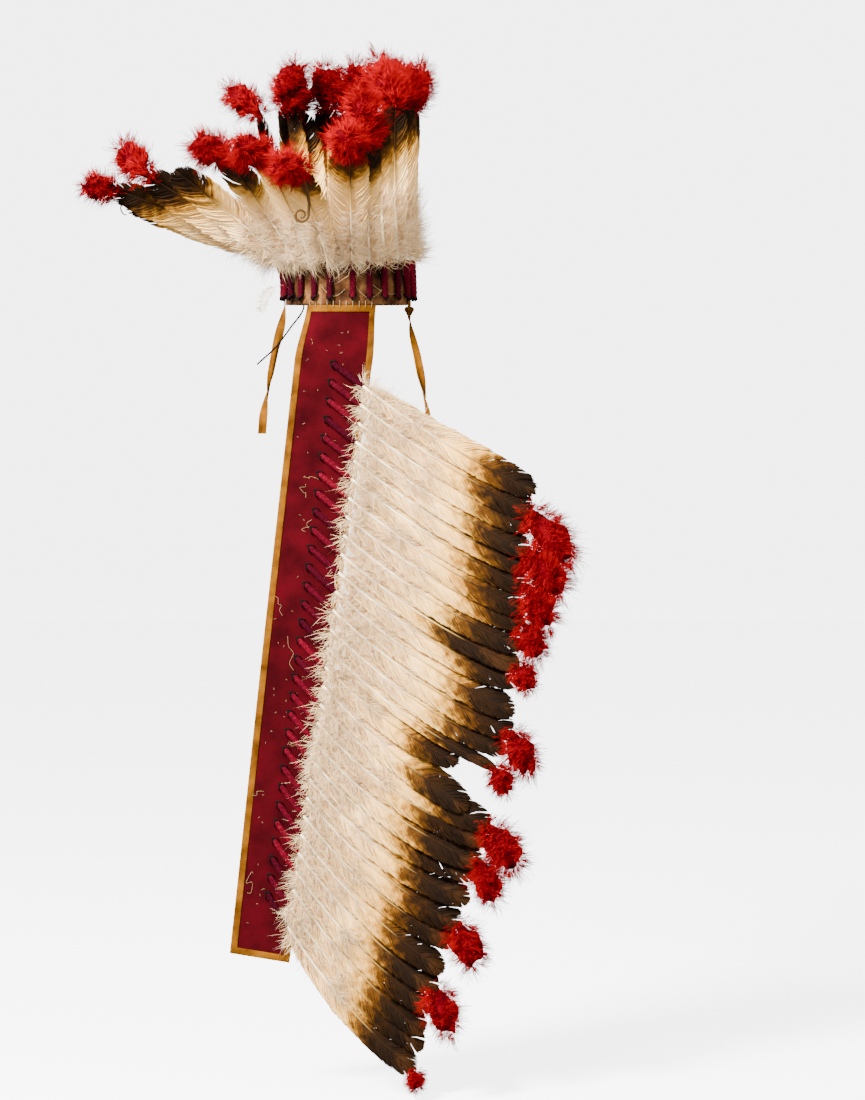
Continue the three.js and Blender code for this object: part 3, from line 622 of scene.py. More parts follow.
def vane_shape(line, wrap_share, camber, width, brown, rng):
    """Barbs on both sides, rooted at shares v of the vane. Up to v = 0.8 one ends at v + 0.16 of the vane, a
    little less near the tip, at the vane's half width. Beyond, the ends go round a quarter of an ellipse
    from the edge at 0.93 to the tip. Barbs cling in clumps: a sawtooth moves v, and a clump shares part of
    its tone and of its lift. The side that lies over the next feather is narrower, so the next shaft shows.
    The colour's place is v moved by brown."""
    vane_length = line["length"] * (1 - wrap_share)
    feather_tone = rng.random()
    shapes = []
    for hand, broad in ((-1, 1.0), (1, OVER_WIDTH)):
        v = np.linspace(0.01, 0.985, BARBS)
        clump = 6 * v + 1.2 * np.sin(4 * v + 6 * rng.random()) + 2 + rng.random()
        teeth, clump = clump % 1 - 0.5, clump.astype(int)
        splits = 0.008 + 0.01 * rng.random(16)[clump] * smooth(v, 0.3, 0.7)
        lean = np.clip(v - splits * teeth + rng.normal(0, 0.0025, BARBS), 0, 0.99)
        round_tip = np.radians(90) * np.clip((lean - ROUND_FROM) / 0.185, 0, 1)
        on_edge = np.minimum(lean, ROUND_FROM) + SLANT - 0.03 * smooth(lean, 0.5, ROUND_FROM)
        end_at = on_edge + 0.07 * np.sin(round_tip) + rng.normal(0, 0.004, BARBS)
        root, root_along, root_side, root_face = read(line, wrap_share + (1 - wrap_share) * v)
        root = root - root_side * hand * 0.35
        point, along, side, face = read(line, wrap_share + (1 - wrap_share) * end_at)
        half = vane_half(on_edge, width) * broad * (1 + rng.normal(0, 0.03, BARBS) - 0.1 * np.abs(teeth))
        half = half * np.cos(round_tip)
        loose = rng.normal(0, 1, BARBS) * (2.2 * (1 - smooth(v, 0.05, 0.45)) + 0.3)
        loose = loose + rng.normal(0, 1.3, 16)[clump]
        lift = loose - camber * (half / VANE_HALF) ** 2
        end = point + side * (hand * half)[:, None] + face * lift[:, None]
        end = end + along * ((end_at - np.clip(end_at, 0, 1)) * vane_length)[:, None]
        reach = np.linalg.norm(end - root, axis=1, keepdims=True)
        bow = side * (hand * 0.09 * np.cos(round_tip))[:, None] * reach - root_along * 0.03 * reach
        bow = bow + root_face * rng.normal(0.2, 0.25, (BARBS, 1))
        tilt = unit(root_face + root_along * 0.22)
        drawn = 0.35 * rng.random(BARBS) + 0.35 * rng.random(16)[clump] + 0.3 * feather_tone
        lie_root = lie_of(v + brown, 0, drawn)
        lie_end = lie_of(0.5 * (v + end_at) + brown, 1, drawn)
        shapes.append(blades(root, end, bow, tilt, BLADE_HALF, BLADE_THICK, BLADE_AT, lie_root, lie_end))
    return shapes


print("barbs of a vane:", 2 * BARBS)

# %% Down
DOWNS = 570
DOWN_TUFTS = 30


def down_shape(line, wrap_share, amount, over, rng, spread=1.0):
    """Loose strands from the lowest part of the vane. over says how far they lie back over the wrap, and
    how far they spread to the sides."""
    n = int(DOWNS * amount)
    tuft = rng.integers(DOWN_TUFTS, size=n)
    v = (0.4 * rng.random(DOWN_TUFTS) ** 2)[tuft] + 0.05 * rng.random(n)
    root, along, side, face = read(line, wrap_share + (1 - wrap_share) * v)
    sideways = rng.choice([-1, 1], n) * (0.35 + 0.65 * rng.random(n)) * (0.45 + 0.55 * min(over, 1.0))
    outwards_by = rng.uniform(-0.2, 0.85, n)
    forwards = rng.uniform(-over, 0.9, n) + 2 * v
    way = unit(side * sideways[:, None] + face * outwards_by[:, None] + along * forwards[:, None])
    reach = (13 + 24 * rng.random(n) ** 1.3)[:, None] * spread
    end = root + way * reach
    end = end + rng.normal(0, 4, (DOWN_TUFTS, 3))[tuft]
    bow = rng.normal(0, 0.12, (n, 3)) * reach
    drawn = 0.5 * rng.random(n) + 0.5 * rng.random(DOWN_TUFTS)[tuft]
    up = unit(rng.normal(0, 1, (n, 3)))
    # A strand's lie goes from 0.2 at its root to 1 at its end, so it is darker and warmer at the root: painted
    # shade deep in the down
    return blades(root, end, bow, up, [0.35], 0.22, [0.4], lie_of(0.2, 0, drawn), lie_of(1, 0, drawn))


print("strands of down on a feather:", DOWNS)


# %% [markdown]
# ## The plume
# The real plume is a bunch of fluffy down, dyed scarlet and tied to the tip. Hair particles would give it in
# a moment, but they leave no mesh to hand on. So strands leave a short quill in tufts and end near an
# ellipsoid, and a lumpy dark core closes the view through them. The core and the roots of the strands are
# coloured near black: painted shade inside the plume.

# %% Plume
PLUME_LENGTH = 78
PLUME_WIDE = 37
PLUME_DEEP = 34
STRANDS = 2000
TUFTS = 30


def plume_shapes(foot, along, side, face, size, rng, sag=0.0):
    """A lumpy dark core, and strands in tufts that leave the plume's own quill at a slant and end near an
    ellipsoid about its middle, foot + 0.42 L along, with half axes 0.6 L, W and D, so that the plume hangs
    over the tip. A point at q of the length sinks by sag q^2. A strand at s spreads from the middle of its
    tuft reaches 1 - 0.07 s^2 as far, and one in seven is a loose hair that reaches further. The core and the
    strands' roots are near black and the strands' ends red: painted shade inside the plume."""
    length, broad = PLUME_LENGTH * size, 0.3 + 0.7 * min(size, 1.1)
    half = np.array([0.6 * length, PLUME_WIDE * broad, PLUME_DEEP * broad])
    axes = np.stack([along, side, face])

    def placed(ball):
        """foot + 0.42 L along + (ball * half axes) in the plume's own axes, sunk by sag q^2"""
        point = foot + along * 0.42 * length + (ball * half) @ axes
        q = np.clip(0.42 + 0.6 * ball[..., :1], 0, 1)
        return point + np.array([0, 0, -sag]) * q**2

    height = np.linspace(-0.9, 0.9, 9)[:, None]
    angle = 2 * np.pi * np.arange(10)[None] / 10
    lump = 0.52 + 0.07 * np.sin(3 * angle + 4 * height + 6 * rng.random()) + 0.05 * rng.normal(0, 1, (9, 10))
    ring = np.sqrt(1 - height**2)
    core = np.stack([height + 0 * angle, ring * np.cos(angle), ring * np.sin(angle)], -1) * lump[..., None]
    ends = placed(np.array([[-0.95, 0, 0], [0.52, 0, 0]]))
    # The core's lie of 0 gives it the darkest red, near black: painted shade inside the plume
    shapes = [lofts(placed(core)[None], ends[:1], ends[1:], plain_lie(1, 9, 0.0))]
    n = int(STRANDS * (0.4 + 0.6 * size))
    tuft = rng.integers(TUFTS, size=n)
    spread = rng.normal(0, 1, (2, n))
    high = np.clip(np.linspace(-0.94, 0.94, TUFTS)[tuft] + 0.13 * spread[0], -0.99, 0.99)
    around = (2.4 * np.arange(TUFTS) + rng.normal(0, 0.2, TUFTS))[tuft] + 0.3 * spread[1]
    far = rng.uniform(0.84, 1.1, TUFTS)[tuft] * (1 - 0.07 * (spread**2).sum(0)) * rng.uniform(0.8, 1.0, n)
    far = np.where(rng.random(n) < 1 / 7, rng.uniform(0.95, 1.2, n), far)[:, None]
    flat = np.sqrt(1 - high**2)
    end = placed(np.stack([high, flat * np.cos(around), flat * np.sin(around)], -1) * far)
    root = placed(np.stack([0.75 * high - 0.2, 0 * high, 0 * high], -1))
    reach = np.linalg.norm(end - root, axis=1, keepdims=True)
    root = root + 0.4 * (end - root)
    bow = rng.normal(0, 0.08, (n, 3)) * reach - along * 0.05 * reach
    drawn = rng.random(n)
    up = unit(rng.normal(0, 1, (n, 3)))
    # A strand's lie goes from 0.1 at its root to 1.1 at its end, so it is darkest at the root: painted shade
    # between the strands
    lies = lie_of(0.1, 0, drawn), lie_of(1.1, 0, drawn)
    shapes.append(blades(root, end, bow, up, [0.42], 0.3, [0.45], *lies))
    return shapes


def turned(axes, about_side, about_face):
    """The axes turned about side, and then all about face, both in degrees"""
    along, side, face = axes
    first = [rotate(v, side, np.radians(about_side)) for v in (along, side, face)]
    return [rotate(v, face, np.radians(about_face)) for v in first]


print("strands of a whole plume:", STRANDS, "in tufts:", TUFTS)

# %% [markdown]
# ## Lacing
# Each wrap is held by a lace that goes through the hide or the wool and is knotted. Only the loop and the knot
# show, so only they are made, as tubes: a smooth line through a few stations, and a trefoil for the knot.


# %% Knots and loops
LOOP_ALONG = [5, 3.4, 0.6, -2.2, 0.6, 3.4, 5]
LOOP_SIDE = [-4.4, -4.7, -3.2, 0, 3.2, 4.7, 4.4]
LOOP_FACE = [-3.6, -0.6, 2.2, 3.4, 2.2, -0.6, -3.6]
LOOP = np.stack([LOOP_ALONG, LOOP_SIDE, LOOP_FACE], -1)


def knot_shape(middle, radius, thick, steps, sides):
    """A tube on a trefoil, (sin t + 2 sin 2t, -1.1 sin 3t, cos t - 2 cos 2t), about middle"""
    t = np.linspace(0, 2 * np.pi, steps, endpoint=False)
    path = np.stack([np.sin(t) + 2 * np.sin(2 * t), -1.1 * np.sin(3 * t), np.cos(t) - 2 * np.cos(2 * t)], -1)
    path = np.concatenate([path, path[:2]]) * (radius - thick) / 3
    return string(path + middle, thick, sides)


def lacing_loop(line, radius):
    """A lace that comes out of the cloth, passes under the foot of the wrap and goes back in"""
    point, along, side, face = (v[0] for v in read(line, [0.0]))
    path = point + LOOP[:, :1] * along + LOOP[:, 1:2] * side + LOOP[:, 2:] * face
    knot = knot_shape(point - 1.2 * along + 1.4 * face, 3.4 * radius, radius, 24, 5)
    return [string(through(path, 3), radius, 5), knot]


print("stations of a loop:", len(LOOP))


# %% [markdown]
# ## The crown
# Twenty-four real feathers are laced round the cuff. They could be placed by hand, but a table keeps them in
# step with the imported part: how far a feather falls to the wearer's left and to the back, in degrees, its
# length and its plume as shares, how far its vane turns about its own line and how far its plume folds
# outwards, in degrees. They start at the middle of the back and go round by the wearer's right.

# %% The crown
CROWN_LEFT = [1, 3, 4, 4, 5, 4.5, 3.5, 3, 1.5, 0, 0, 0, 0, 1, 2.5, 4, 9, 66, 63, 54, 46, 30, 20, 13]
CROWN_BACK = [42, 38, 24, 11, 5, 1, 0, 2, 2, 2, 1.7, 1.5, 1.5, 2, 3, 5, 2, -8, 3, 20, 30, 38, 43, 53]
CROWN_REACH = [1.0, 0.98, 1.0, 1.02, 1.0, 1.03, 1.0, 1.04, 1.0, 1.05, 1.02, 1.04]
CROWN_REACH += [1.0, 1.03, 1.0, 1.04, 1.0, 1.08, 1.14, 1.02, 0.98, 0.98, 1.0, 1.0]
CROWN_PLUME = [1, 1, 0, 0.9, 0, 1, 0.9, 1, 1, 1, 1, 0.9, 1, 1, 1, 1, 0.9, 0, 0.75, 0.95, 0, 1, 1, 0.95]
CROWN_TURN = [0, 4, 10, 18, 26, 24, 20, 12, 4, 0, 0, 0, 0, 0, 0, 0, -10, -80, -80, -70, -55, -40, -20, -8]
CROWN_FOLD = [37, -37, 37, -45, 37, -45, 5, -37, 15, -37, 37, -37]
CROWN_FOLD += [37, -37, 37, -37, 37, -37, 37, -37, 37, 30, 37, 30]
CROWN = np.stack([CROWN_LEFT, CROWN_BACK, CROWN_REACH, CROWN_PLUME, CROWN_TURN, CROWN_FOLD], -1)
BROAD_VANE = 1.22
BROAD_VANED = (0, 19, 20, 21, 22, 23)
CROWN_LENGTH = 250
CROWN_ROLL = 12
CROWN_CAMBER = 2.6
CROWN_CURL = 6
LACING_HEIGHT = 9
PLUME_GROWN = 1.12


def crown_azimuth(place):
    """5 + place 340 / 23 degrees"""
    return 5 + place * 340 / 23


def wrap_reach(roll):
    """How far a rolled six-sided wrap reaches towards what carries it: 4.1 cos(30 - roll)"""
    return WRAP_RADIUS * math.cos(math.radians(30 - roll))


def crown_line(index):
    """The line of a crown feather: up the cuff's slope, then towards (tan left, tan back, 1)"""
    left, behind, reach, _, turn, _ = CROWN[index]
    azimuth = crown_azimuth(index)
    offset = CAP_WALL + CUFF_THICKNESS + CLEARANCE + wrap_reach(CROWN_ROLL)
    foot = on_plan(azimuth, offset)
    up_cuff = on_plan(azimuth, offset, CUFF_TOP_REACH) - foot + [0, 0, CUFF_HEIGHT]
    end = unit(np.array([math.tan(math.radians(left)), math.tan(math.radians(behind)), 1]))
    root = foot + up_cuff * LACING_HEIGHT / CUFF_HEIGHT
    out = outwards(azimuth, offset)
    length = CROWN_LENGTH * reach
    bend = 3 * math.sin(2.4 * index)
    return feather_line(root, unit(up_cuff), end, out, 0.02, 0.28, CROWN_CURL, length, CROWN_ROLL, turn, bend)


print("crown feathers, mm long:", CROWN_LENGTH * CROWN[:, 2].min(), "to", CROWN_LENGTH * CROWN[:, 2].max())

# %% The crown's feathers
loops = []
for index in range(len(CROWN)):
    rng = np.random.default_rng(100 + index)
    line = crown_line(index)
    share = WRAP_LENGTH / line["length"]
    at_left = index >= 20 or index < 1
    shapes = [(wrap_shape(line, share, rng), WRAP), (shaft_shape(line, share), SHAFT)]
    width = BROAD_VANE if index in BROAD_VANED else 1.0
    vane = vane_shape(line, share, CROWN_CAMBER, width, rng.uniform(-0.05, 0.03), rng)
    shapes += [(s, VANE) for s in vane]
    shapes.append((down_shape(line, share, 1.3, 1.3 if at_left else 0.35, rng, 1.1), DOWN))
    size = CROWN[index, 3] * (PLUME_GROWN if 9 <= index <= 11 else 1)
    if size:
        point, *axes = (v[0] for v in read(line, [1.0]))
        axes = turned(axes, CROWN[index, 5], 0)
        shapes += [(s, PLUME) for s in plume_shapes(point, *axes, size, rng)]
    name = f"crown_feather_{index + 1:02d}"
    made = piece(name + "_looks", shapes, [name])
    loops += lacing_loop(line, 0.9)
piece("crown_lacing", [(s, LACE) for s in loops])
print("one crown feather, faces:", len(made.data.polygons))

# %% [markdown]
# ## The strip of the trailer
# A long strip of red wool hangs from the back of the rim. A cloth simulation could let it fall, but it hangs
# almost straight, so a formula for its middle surface is enough: u runs down it and v across it to the
# wearer's right. It starts on the curve of the rim and is flat further down. It leans to the wearer's left,
# swells back from the wearer and slopes a little at its foot.

# %% The strip's surface
TRAILER_LENGTH = 860
TRAILER_WIDTH = 104
TAPER = 25
LEAN = math.radians(6.3)
CLOTH_THICKNESS = 2
BINDING_WALL = 1
BINDING_WIDTH = 9
RIM_MIDDLE = (CAP_WALL + CUFF_THICKNESS) / 2
RIM_ARC = (HALF_WIDTH + HALF_LENGTH) / 2 + RIM_MIDDLE
TOP_AZIMUTH = -6


def strip_point(u, v):
    """Between the rim's curve and a flat cross line, by smooth(u, 0, 74), and then down by
    (u sin lean, 16 (smooth(t, 0, 0.6) - 0.65 smooth(t, 0.6, 1)), -0.3 - u cos lean), with t = u / 860"""
    u, v = np.broadcast_arrays(np.asarray(u, float), np.asarray(v, float))
    t = u / TRAILER_LENGTH
    slope = np.radians(9.3) * smooth(t, 0.05, 0.9)
    on_rim = on_plan(TOP_AZIMUTH + np.degrees(v / RIM_ARC), RIM_MIDDLE)
    middle = on_plan(TOP_AZIMUTH, RIM_MIDDLE)
    flat = np.stack([middle[0] - v * np.cos(slope), middle[1] + 0 * v, -v * np.sin(slope)], -1)
    part = smooth(u, 0, 74)[..., None]
    behind = 16 * (smooth(t, 0, 0.6) - 0.65 * smooth(t, 0.6, 1))
    down = np.stack([u * math.sin(LEAN), behind, -CLEARANCE - u * math.cos(LEAN)], -1)
    return on_rim * (1 - part) + flat * part + down


def strip_normal(u, v):
    """The unit of (d/du x d/dv), which points away from the wearer's back"""
    down = strip_point(u + 1, v) - strip_point(u - 1, v)
    across = strip_point(u, v + 1) - strip_point(u, v - 1)
    return unit(np.cross(down, across))


def slab(u0, u1, v0, v1, half, rows, columns, ripple):
    """A closed sheet between two stations down and across; ripple moves its middle along the normal. The
    last station across is v1 - 25 u / 860."""
    u = np.linspace(u0, u1, rows)[:, None]
    v = v0 + (v1 - TAPER * u / TRAILER_LENGTH - v0) * np.linspace(0, 1, columns)[None]
    middle, normal = strip_point(u, v), strip_normal(u, v)
    middle = middle + normal * ripple(u, v)[..., None]
    ring = np.concatenate([middle + normal * half, (middle - normal * half)[:, ::-1]], 1)
    return lofts(ring[None], middle[:1, columns // 2], middle[-1:, columns // 2], plain_lie(1, rows))


def cloth_ripple(u, v):
    """0.35 sin(u / 31 + v / 40) sin(u / 83) + 0.15 sin(u / 9 + v / 17), a slight unevenness in mm"""
    return 0.35 * np.sin(u / 31 + v / 40) * np.sin(u / 83) + 0.15 * np.sin(u / 9 + v / 17)


foot = strip_point(TRAILER_LENGTH, 0.0)
print("the strip's foot, mm:", [round(float(x), 1) for x in foot])

# %% [markdown]
# ## The wool and its ribbon
# A real ribbon is folded over each edge and sewn. A bevelled curve would round its corners, so its folded
# section is swept round the four edges as one mitred frame, and it puckers a little between its stitches.

# %% The wool strip
inset = BINDING_WALL + CLEARANCE
cloth_half = TRAILER_WIDTH / 2 - inset
CLOTH_ROWS, CLOTH_COLUMNS, CLOTH_HALF_THICK = 220, 26, 0.95
cloth_size = (CLOTH_HALF_THICK, CLOTH_ROWS, CLOTH_COLUMNS)
cloth_shape = slab(inset, TRAILER_LENGTH - inset, -cloth_half, cloth_half, *cloth_size, cloth_ripple)
cloth = piece("trailer_cloth_wool", [(cloth_shape, WOOL)], ["trailer_cloth"])
print("wool strip, mm:", 2 * cloth_half, "by", TRAILER_LENGTH - 2 * inset)


# %% The ribbon
def binding_shape():
    """The ribbon's section, points of (inset from the edge, height), swept round the strip. At an inset d the
    four corners are (d, -w), (d, w), (860 - d, w - 25), (860 - d, -w) with w = 52 - d."""
    slot = CLOTH_THICKNESS / 2 + CLEARANCE
    top = slot + BINDING_WALL
    inwards = [BINDING_WIDTH, BINDING_WIDTH, 8.2, 5, 2, 0.3, 0, 0]
    section = np.stack([inwards, [slot + 0.1, top - 0.3, top, top, top, top - 0.3, top - 0.9, 0]], -1)
    outer = np.concatenate([section, section[-2::-1] * [1, -1]])
    inner = np.stack([[9, 5, 1, 1, 5, 9], np.repeat([-slot, slot], 3)], -1)
    section = np.concatenate([outer, inner])
    counts = [30, 240, 30, 240]
    w = lambda d: TRAILER_WIDTH / 2 - d
    far = TRAILER_LENGTH
    corner = lambda k, d: [(d, -w(d)), (d, w(d)), (far - d, w(d) - TAPER), (far - d, -w(d))][k % 4]
    d = section[:, 0]
    us, vs, runs = [], [], []
    for k, count in enumerate(counts):
        t = np.linspace(0, 1, count, endpoint=False)[:, None]
        (u0, v0), (u1, v1) = corner(k, d), corner(k + 1, d)
        us.append(u0 + (u1 - u0) * t)
        vs.append(v0 + (v1 - v0) * t)
        runs.append(t[:, 0] * (TRAILER_WIDTH if k % 2 == 0 else TRAILER_LENGTH) + k * 900)
    u, v, run = np.concatenate(us), np.concatenate(vs), np.concatenate(runs)[:, None]
    face = np.abs(section[:, 1]) > slot + 0.05
    pucker = np.where(face, -0.22 * (1 + np.sin(run / 2.1)) * np.sin(np.pi * d / BINDING_WIDTH) ** 2, 0)
    pucker = pucker * (0.6 + 0.4 * np.sin(run / 23))
    height = section[:, 1] + np.sign(section[:, 1]) * pucker
    points = strip_point(u, v) + strip_normal(u, v) * height[..., None]
    rows, sides = points.shape[:2]
    row, side = np.arange(rows)[:, None], np.arange(sides)
    a = row * sides + side
    b = row * sides + (side + 1) % sides
    c, e = ((row + 1) % rows) * sides + (side + 1) % sides, ((row + 1) % rows) * sides + side
    faces = np.concatenate([np.stack([a, b, c], -1).reshape(-1, 3), np.stack([a, c, e], -1).reshape(-1, 3)])
    flat = points.reshape(-1, 3)
    corners = flat[faces] - flat.mean(0)
    volume = (corners[:, 0] * np.cross(corners[:, 1], corners[:, 2])).sum()
    return flat, faces if volume > 0 else faces[:, ::-1], np.full((len(flat), 3), 0.5)


binding = piece("trailer_binding_ribbon", [(binding_shape(), RIBBON)], ["trailer_binding"])
print("ribbon faces:", len(binding.data.polygons))

# %% [markdown]
# ## The feathers of the trailer
# Thirty feathers are laced down the strip and point to the wearer's right, each over the next. Copies of one
# feather would be quicker, but every real one differs, so each is made anew from its own random numbers. The
# table gives, at shares of the way down, the angles of the wrap and of the tip below level, and the length
# and the width as shares. Their plumes stand off the strip and fall towards its foot, four of them by angles
# of their own.

# %% The feathers of the trailer
ROW_DOWN = [0, 0.17, 0.34, 0.414, 0.448, 0.483, 0.517, 0.552, 0.59, 0.69, 0.86, 1]
ROW_WRAP = [38, 39, 42, 44, 45, 46, 47, 47.5, 48, 51, 55, 58]
ROW_TIP = [27, 27, 25, 28, 28, 27, 30, 34, 26, 24, 38, 42]
ROW_REACH = [1.02, 1.045, 1.06, 1.09, 1.07, 1.04, 0.86, 0.97, 1.07, 1.03, 1.0, 0.985]
ROW_WIDTH = [1, 1, 1, 1, 0.9, 0.35, 0.9, 1, 1, 1, 1, 1]
TRAILER_PLUMES = {1: 1.4, 3: 1.2, 5: 1.0, 7: 0.75, 9: 0.55, 12: 0.9, 14: 0.55, 17: 1.05, 19: 0.85}
TRAILER_PLUMES |= {22: 0.9, 25: 0.95, 29: 0.3}
PLUME_STAND = 28
PLUME_FALL = -40
FALLS_OTHERWISE = {1: -27, 3: -30, 17: -30, 19: -50}
PLUME_SAG = 10
BROWNER = {9: 0.17, 14: 0.12}
DOWNY = (0, 1, 12, 13, 17, 18, 19, 20, 26)
TRAILER_COUNT = 30
TRAILER_FEATHER_LENGTH = 308
TRAILER_ROLL = 13
FIRST_LACING = 76
FOOT_MARGIN = 86
TRAILER_CAMBER = 1.2


def along_strip(angle, normal):
    """Points right of the wearer and down by an angle, laid into the strip's surface"""
    a = math.radians(angle)
    v = np.array([-math.cos(a), 0, -math.sin(a)])
    return unit(v - normal * (v @ normal))


def trailer_line(index):
    """The line of one trailer feather, from u = 76 + 698 share and v = 104 (-0.02 - 0.09 share)"""
    share = index / (TRAILER_COUNT - 1)
    wrap, tip, reach = (np.interp(share, ROW_DOWN, row) for row in (ROW_WRAP, ROW_TIP, ROW_REACH))
    u = FIRST_LACING + (TRAILER_LENGTH - FOOT_MARGIN - FIRST_LACING) * share
    v = (-0.02 - 0.09 * share) * TRAILER_WIDTH
    out = strip_normal(u, v)
    lift = CLOTH_THICKNESS / 2 + CLEARANCE + wrap_reach(TRAILER_ROLL)
    rise = math.radians(3)
    start = unit(along_strip(wrap, out) * (1 - rise) + out * rise)
    length = TRAILER_FEATHER_LENGTH * reach
    root = strip_point(u, v) + out * lift
    end, bend, turn = along_strip(tip, out), 4 * math.sin(2.4 * index), 6 * math.sin(5.1 * index)
    return feather_line(root, start, end, out, 0.0, 1.0, 3, length, TRAILER_ROLL, turn, bend)


print("first trailer feather, mm long:", round(trailer_line(0)["length"], 1))

# %% The trailer's feathers, made
loops, trailer_feathers = [], []
for index in range(TRAILER_COUNT):
    rng = np.random.default_rng(200 + index)
    line = trailer_line(index)
    share = WRAP_LENGTH / line["length"]
    width = np.interp(index / (TRAILER_COUNT - 1), ROW_DOWN, ROW_WIDTH)
    brown = rng.uniform(-0.05, 0.03) + (0.08 if index > 17 else 0) + BROWNER.get(index, 0)
    shapes = [(wrap_shape(line, share, rng), WRAP), (shaft_shape(line, share), SHAFT)]
    width = width * rng.uniform(0.9, 1.08)
    camber = TRAILER_CAMBER * rng.uniform(0.4, 2.4)
    shapes += [(s, VANE) for s in vane_shape(line, share, camber, width, brown, rng)]
    amount, over = (1.4, 0.6) if index in DOWNY else (1.15, 0.45)
    shapes.append((down_shape(line, share, amount, over, rng), DOWN))
    if index in TRAILER_PLUMES:
        point, *axes = (v[0] for v in read(line, [1.0]))
        axes = turned(axes, PLUME_STAND, FALLS_OTHERWISE.get(index, PLUME_FALL))
        plume = plume_shapes(point, *axes, TRAILER_PLUMES[index], rng, PLUME_SAG)
        shapes += [(s, PLUME) for s in plume]
    name = f"trailer_feather_{index + 1:02d}"
    trailer_feathers.append(piece(name + "_looks", shapes, [name]))
    loops += lacing_loop(line, 1.0)
print("one trailer feather, faces:", len(trailer_feathers[-1].data.polygons))

# %% The trailer's lacing
lacing = piece("trailer_lacing", [(s, LACE) for s in loops])
print("trailer lacing loops:", len(loops), "faces:", len(lacing.data.polygons))

# %% [markdown]
# ## The ties
# Two strips of ochre cotton hang from the sides of the cuff. A simulation could hang them, but each only
# twists and swings out a little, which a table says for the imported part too. Their edges curl, and the right
# one is knotted just under the rim.

# %% The ties
TIE_DOWN = [0.0, 0.16, 0.44, 0.6, 0.88, 1.0]
TIE_TWIST = [0, 0, 110, 130, 230, 240]
TIE_SWING = [0.0, 0.0, 0.06, 0.09, 0.14, 0.15]
TIE_RINGS = 90
LEFT_TIE_LENGTH, RIGHT_TIE_LENGTH = 200, 172
TIE_WIDTH = 13
TIE_THICKNESS = 2


def tie_shape(azimuth, top, length, seed):
    """A ribbon whose middle goes down by length t and out by its table, with its width turned about the
    upright by the twist; a crease of 1.1 cos(pi w) mm runs down it, and its width changes a little"""
    rng = np.random.default_rng(seed)
    t = np.linspace(0, 1, TIE_RINGS)
    twist, swing = np.interp(t, TIE_DOWN, TIE_TWIST), np.interp(t, TIE_DOWN, TIE_SWING)
    offset = CAP_WALL + CUFF_THICKNESS + CLEARANCE + TIE_THICKNESS / 2
    out = outwards(np.array(azimuth), offset)
    foot = on_plan(np.array(azimuth), offset)
    middle = foot + out * (swing * length)[:, None]
    middle[:, 2] = top - t * length
    up = np.array([[0.0, 0.0, 1.0]])
    a = np.radians(twist)[:, None]
    wide = rotate(np.tile(np.cross(up, out), (TIE_RINGS, 1)), up, a)
    thin = rotate(np.tile(out, (TIE_RINGS, 1)), up, a)
    w = np.linspace(-1, 1, 9)
    free = smooth(t, 0.1, 0.3)[:, None]
    narrow = 1 - free * (0.12 + 0.1 * np.sin(9 * t + seed)[:, None])
    crease = free * (1.1 * np.cos(np.pi * w) + 0.5 * np.sin(14 * t + 2 * seed)[:, None] * w)
    across = middle[:, None] + wide[:, None] * (TIE_WIDTH / 2 * w * narrow)[..., None]
    across = across + thin[:, None] * crease[..., None]
    half = 0.45
    ring = np.concatenate([across + thin[:, None] * half, (across - thin[:, None] * half)[:, ::-1]], 1)
    return lofts(ring[None], middle[:1], middle[-1:], plain_lie(1, TIE_RINGS, rng.random()))


left_shape = tie_shape(crown_azimuth(18.5), 30.4, LEFT_TIE_LENGTH, 3)
left_tie = piece("tie_left_ribbon", [(left_shape, RIBBON)], ["tie_left"])
knot_at = on_plan(np.array(crown_azimuth(4.5)), CAP_WALL + CUFF_THICKNESS + CLEARANCE + 1) + [0, 0, -7.6]
right_shape = tie_shape(crown_azimuth(4.5), 11.4, RIGHT_TIE_LENGTH, 4)
right_tie = piece("tie_right_ribbon", [(right_shape, RIBBON)], ["tie_right"])
knot = piece("tie_right_knot", [(knot_shape(knot_at, 7, 2.4, 72, 8), RIBBON)])
print("ties:", len(left_tie.data.polygons), len(right_tie.data.polygons), "faces")

# %% [markdown]
# ## Small loose things
# Age shows in small things: two stripped quills curl up at the tips of feathers, threads and lint lie on the
# wool, stitches hold the strip to the rim, a loose white feather lies on the wraps, and a wisp of down hangs
# beside the left tie. A particle system could scatter the lint. Tubes from seeded random numbers do the same
# and fall on the same spots each time.

# %% Stripped quills and threads
def spiral(centre, right, up, start, stop, outer, inner, steps=40):
    """centre + r (right cos a + up sin a), with a from start to stop degrees and r from outer to inner"""
    a = np.radians(np.linspace(start, stop, steps))[:, None]
    r = np.linspace(outer, inner, steps)[:, None]
    return centre + r * (right * np.cos(a) + up * np.sin(a))


def tapered(path, thick, thin):
    """A tube whose radius goes evenly from thick to thin"""
    return string(path, np.linspace(thick, thin, len(path)))


LEFT, UP = np.array([1.0, 0, 0]), np.array([0, 0, 1.0])
curls = []
tip = read(crown_line(23), [0.99])[0][0]
stem = tip + np.array([[0, 0, 0], [-10, 6, -20], [-14, 6, -42]])
coil = spiral(tip + np.array([-4, 6, -56]), LEFT, UP, 165, 645, 9.5, 3.5)
curls.append((tapered(np.concatenate([through(stem, 6), coil]), 2.2, 1.2), QUILL))
tip = read(crown_line(17), [0.97])[0][0]
hook = tip + np.array([[-18, 2, 0], [-4, 3, -2], [8, 4, 0], [13, 4, -5], [10, 4, -13], [5, 4, -15]])
curls.append((tapered(through(hook, 6), 1.5, 0.8), QUILL))
piece("curled_quills", curls)


print("curled quills:", len(curls))

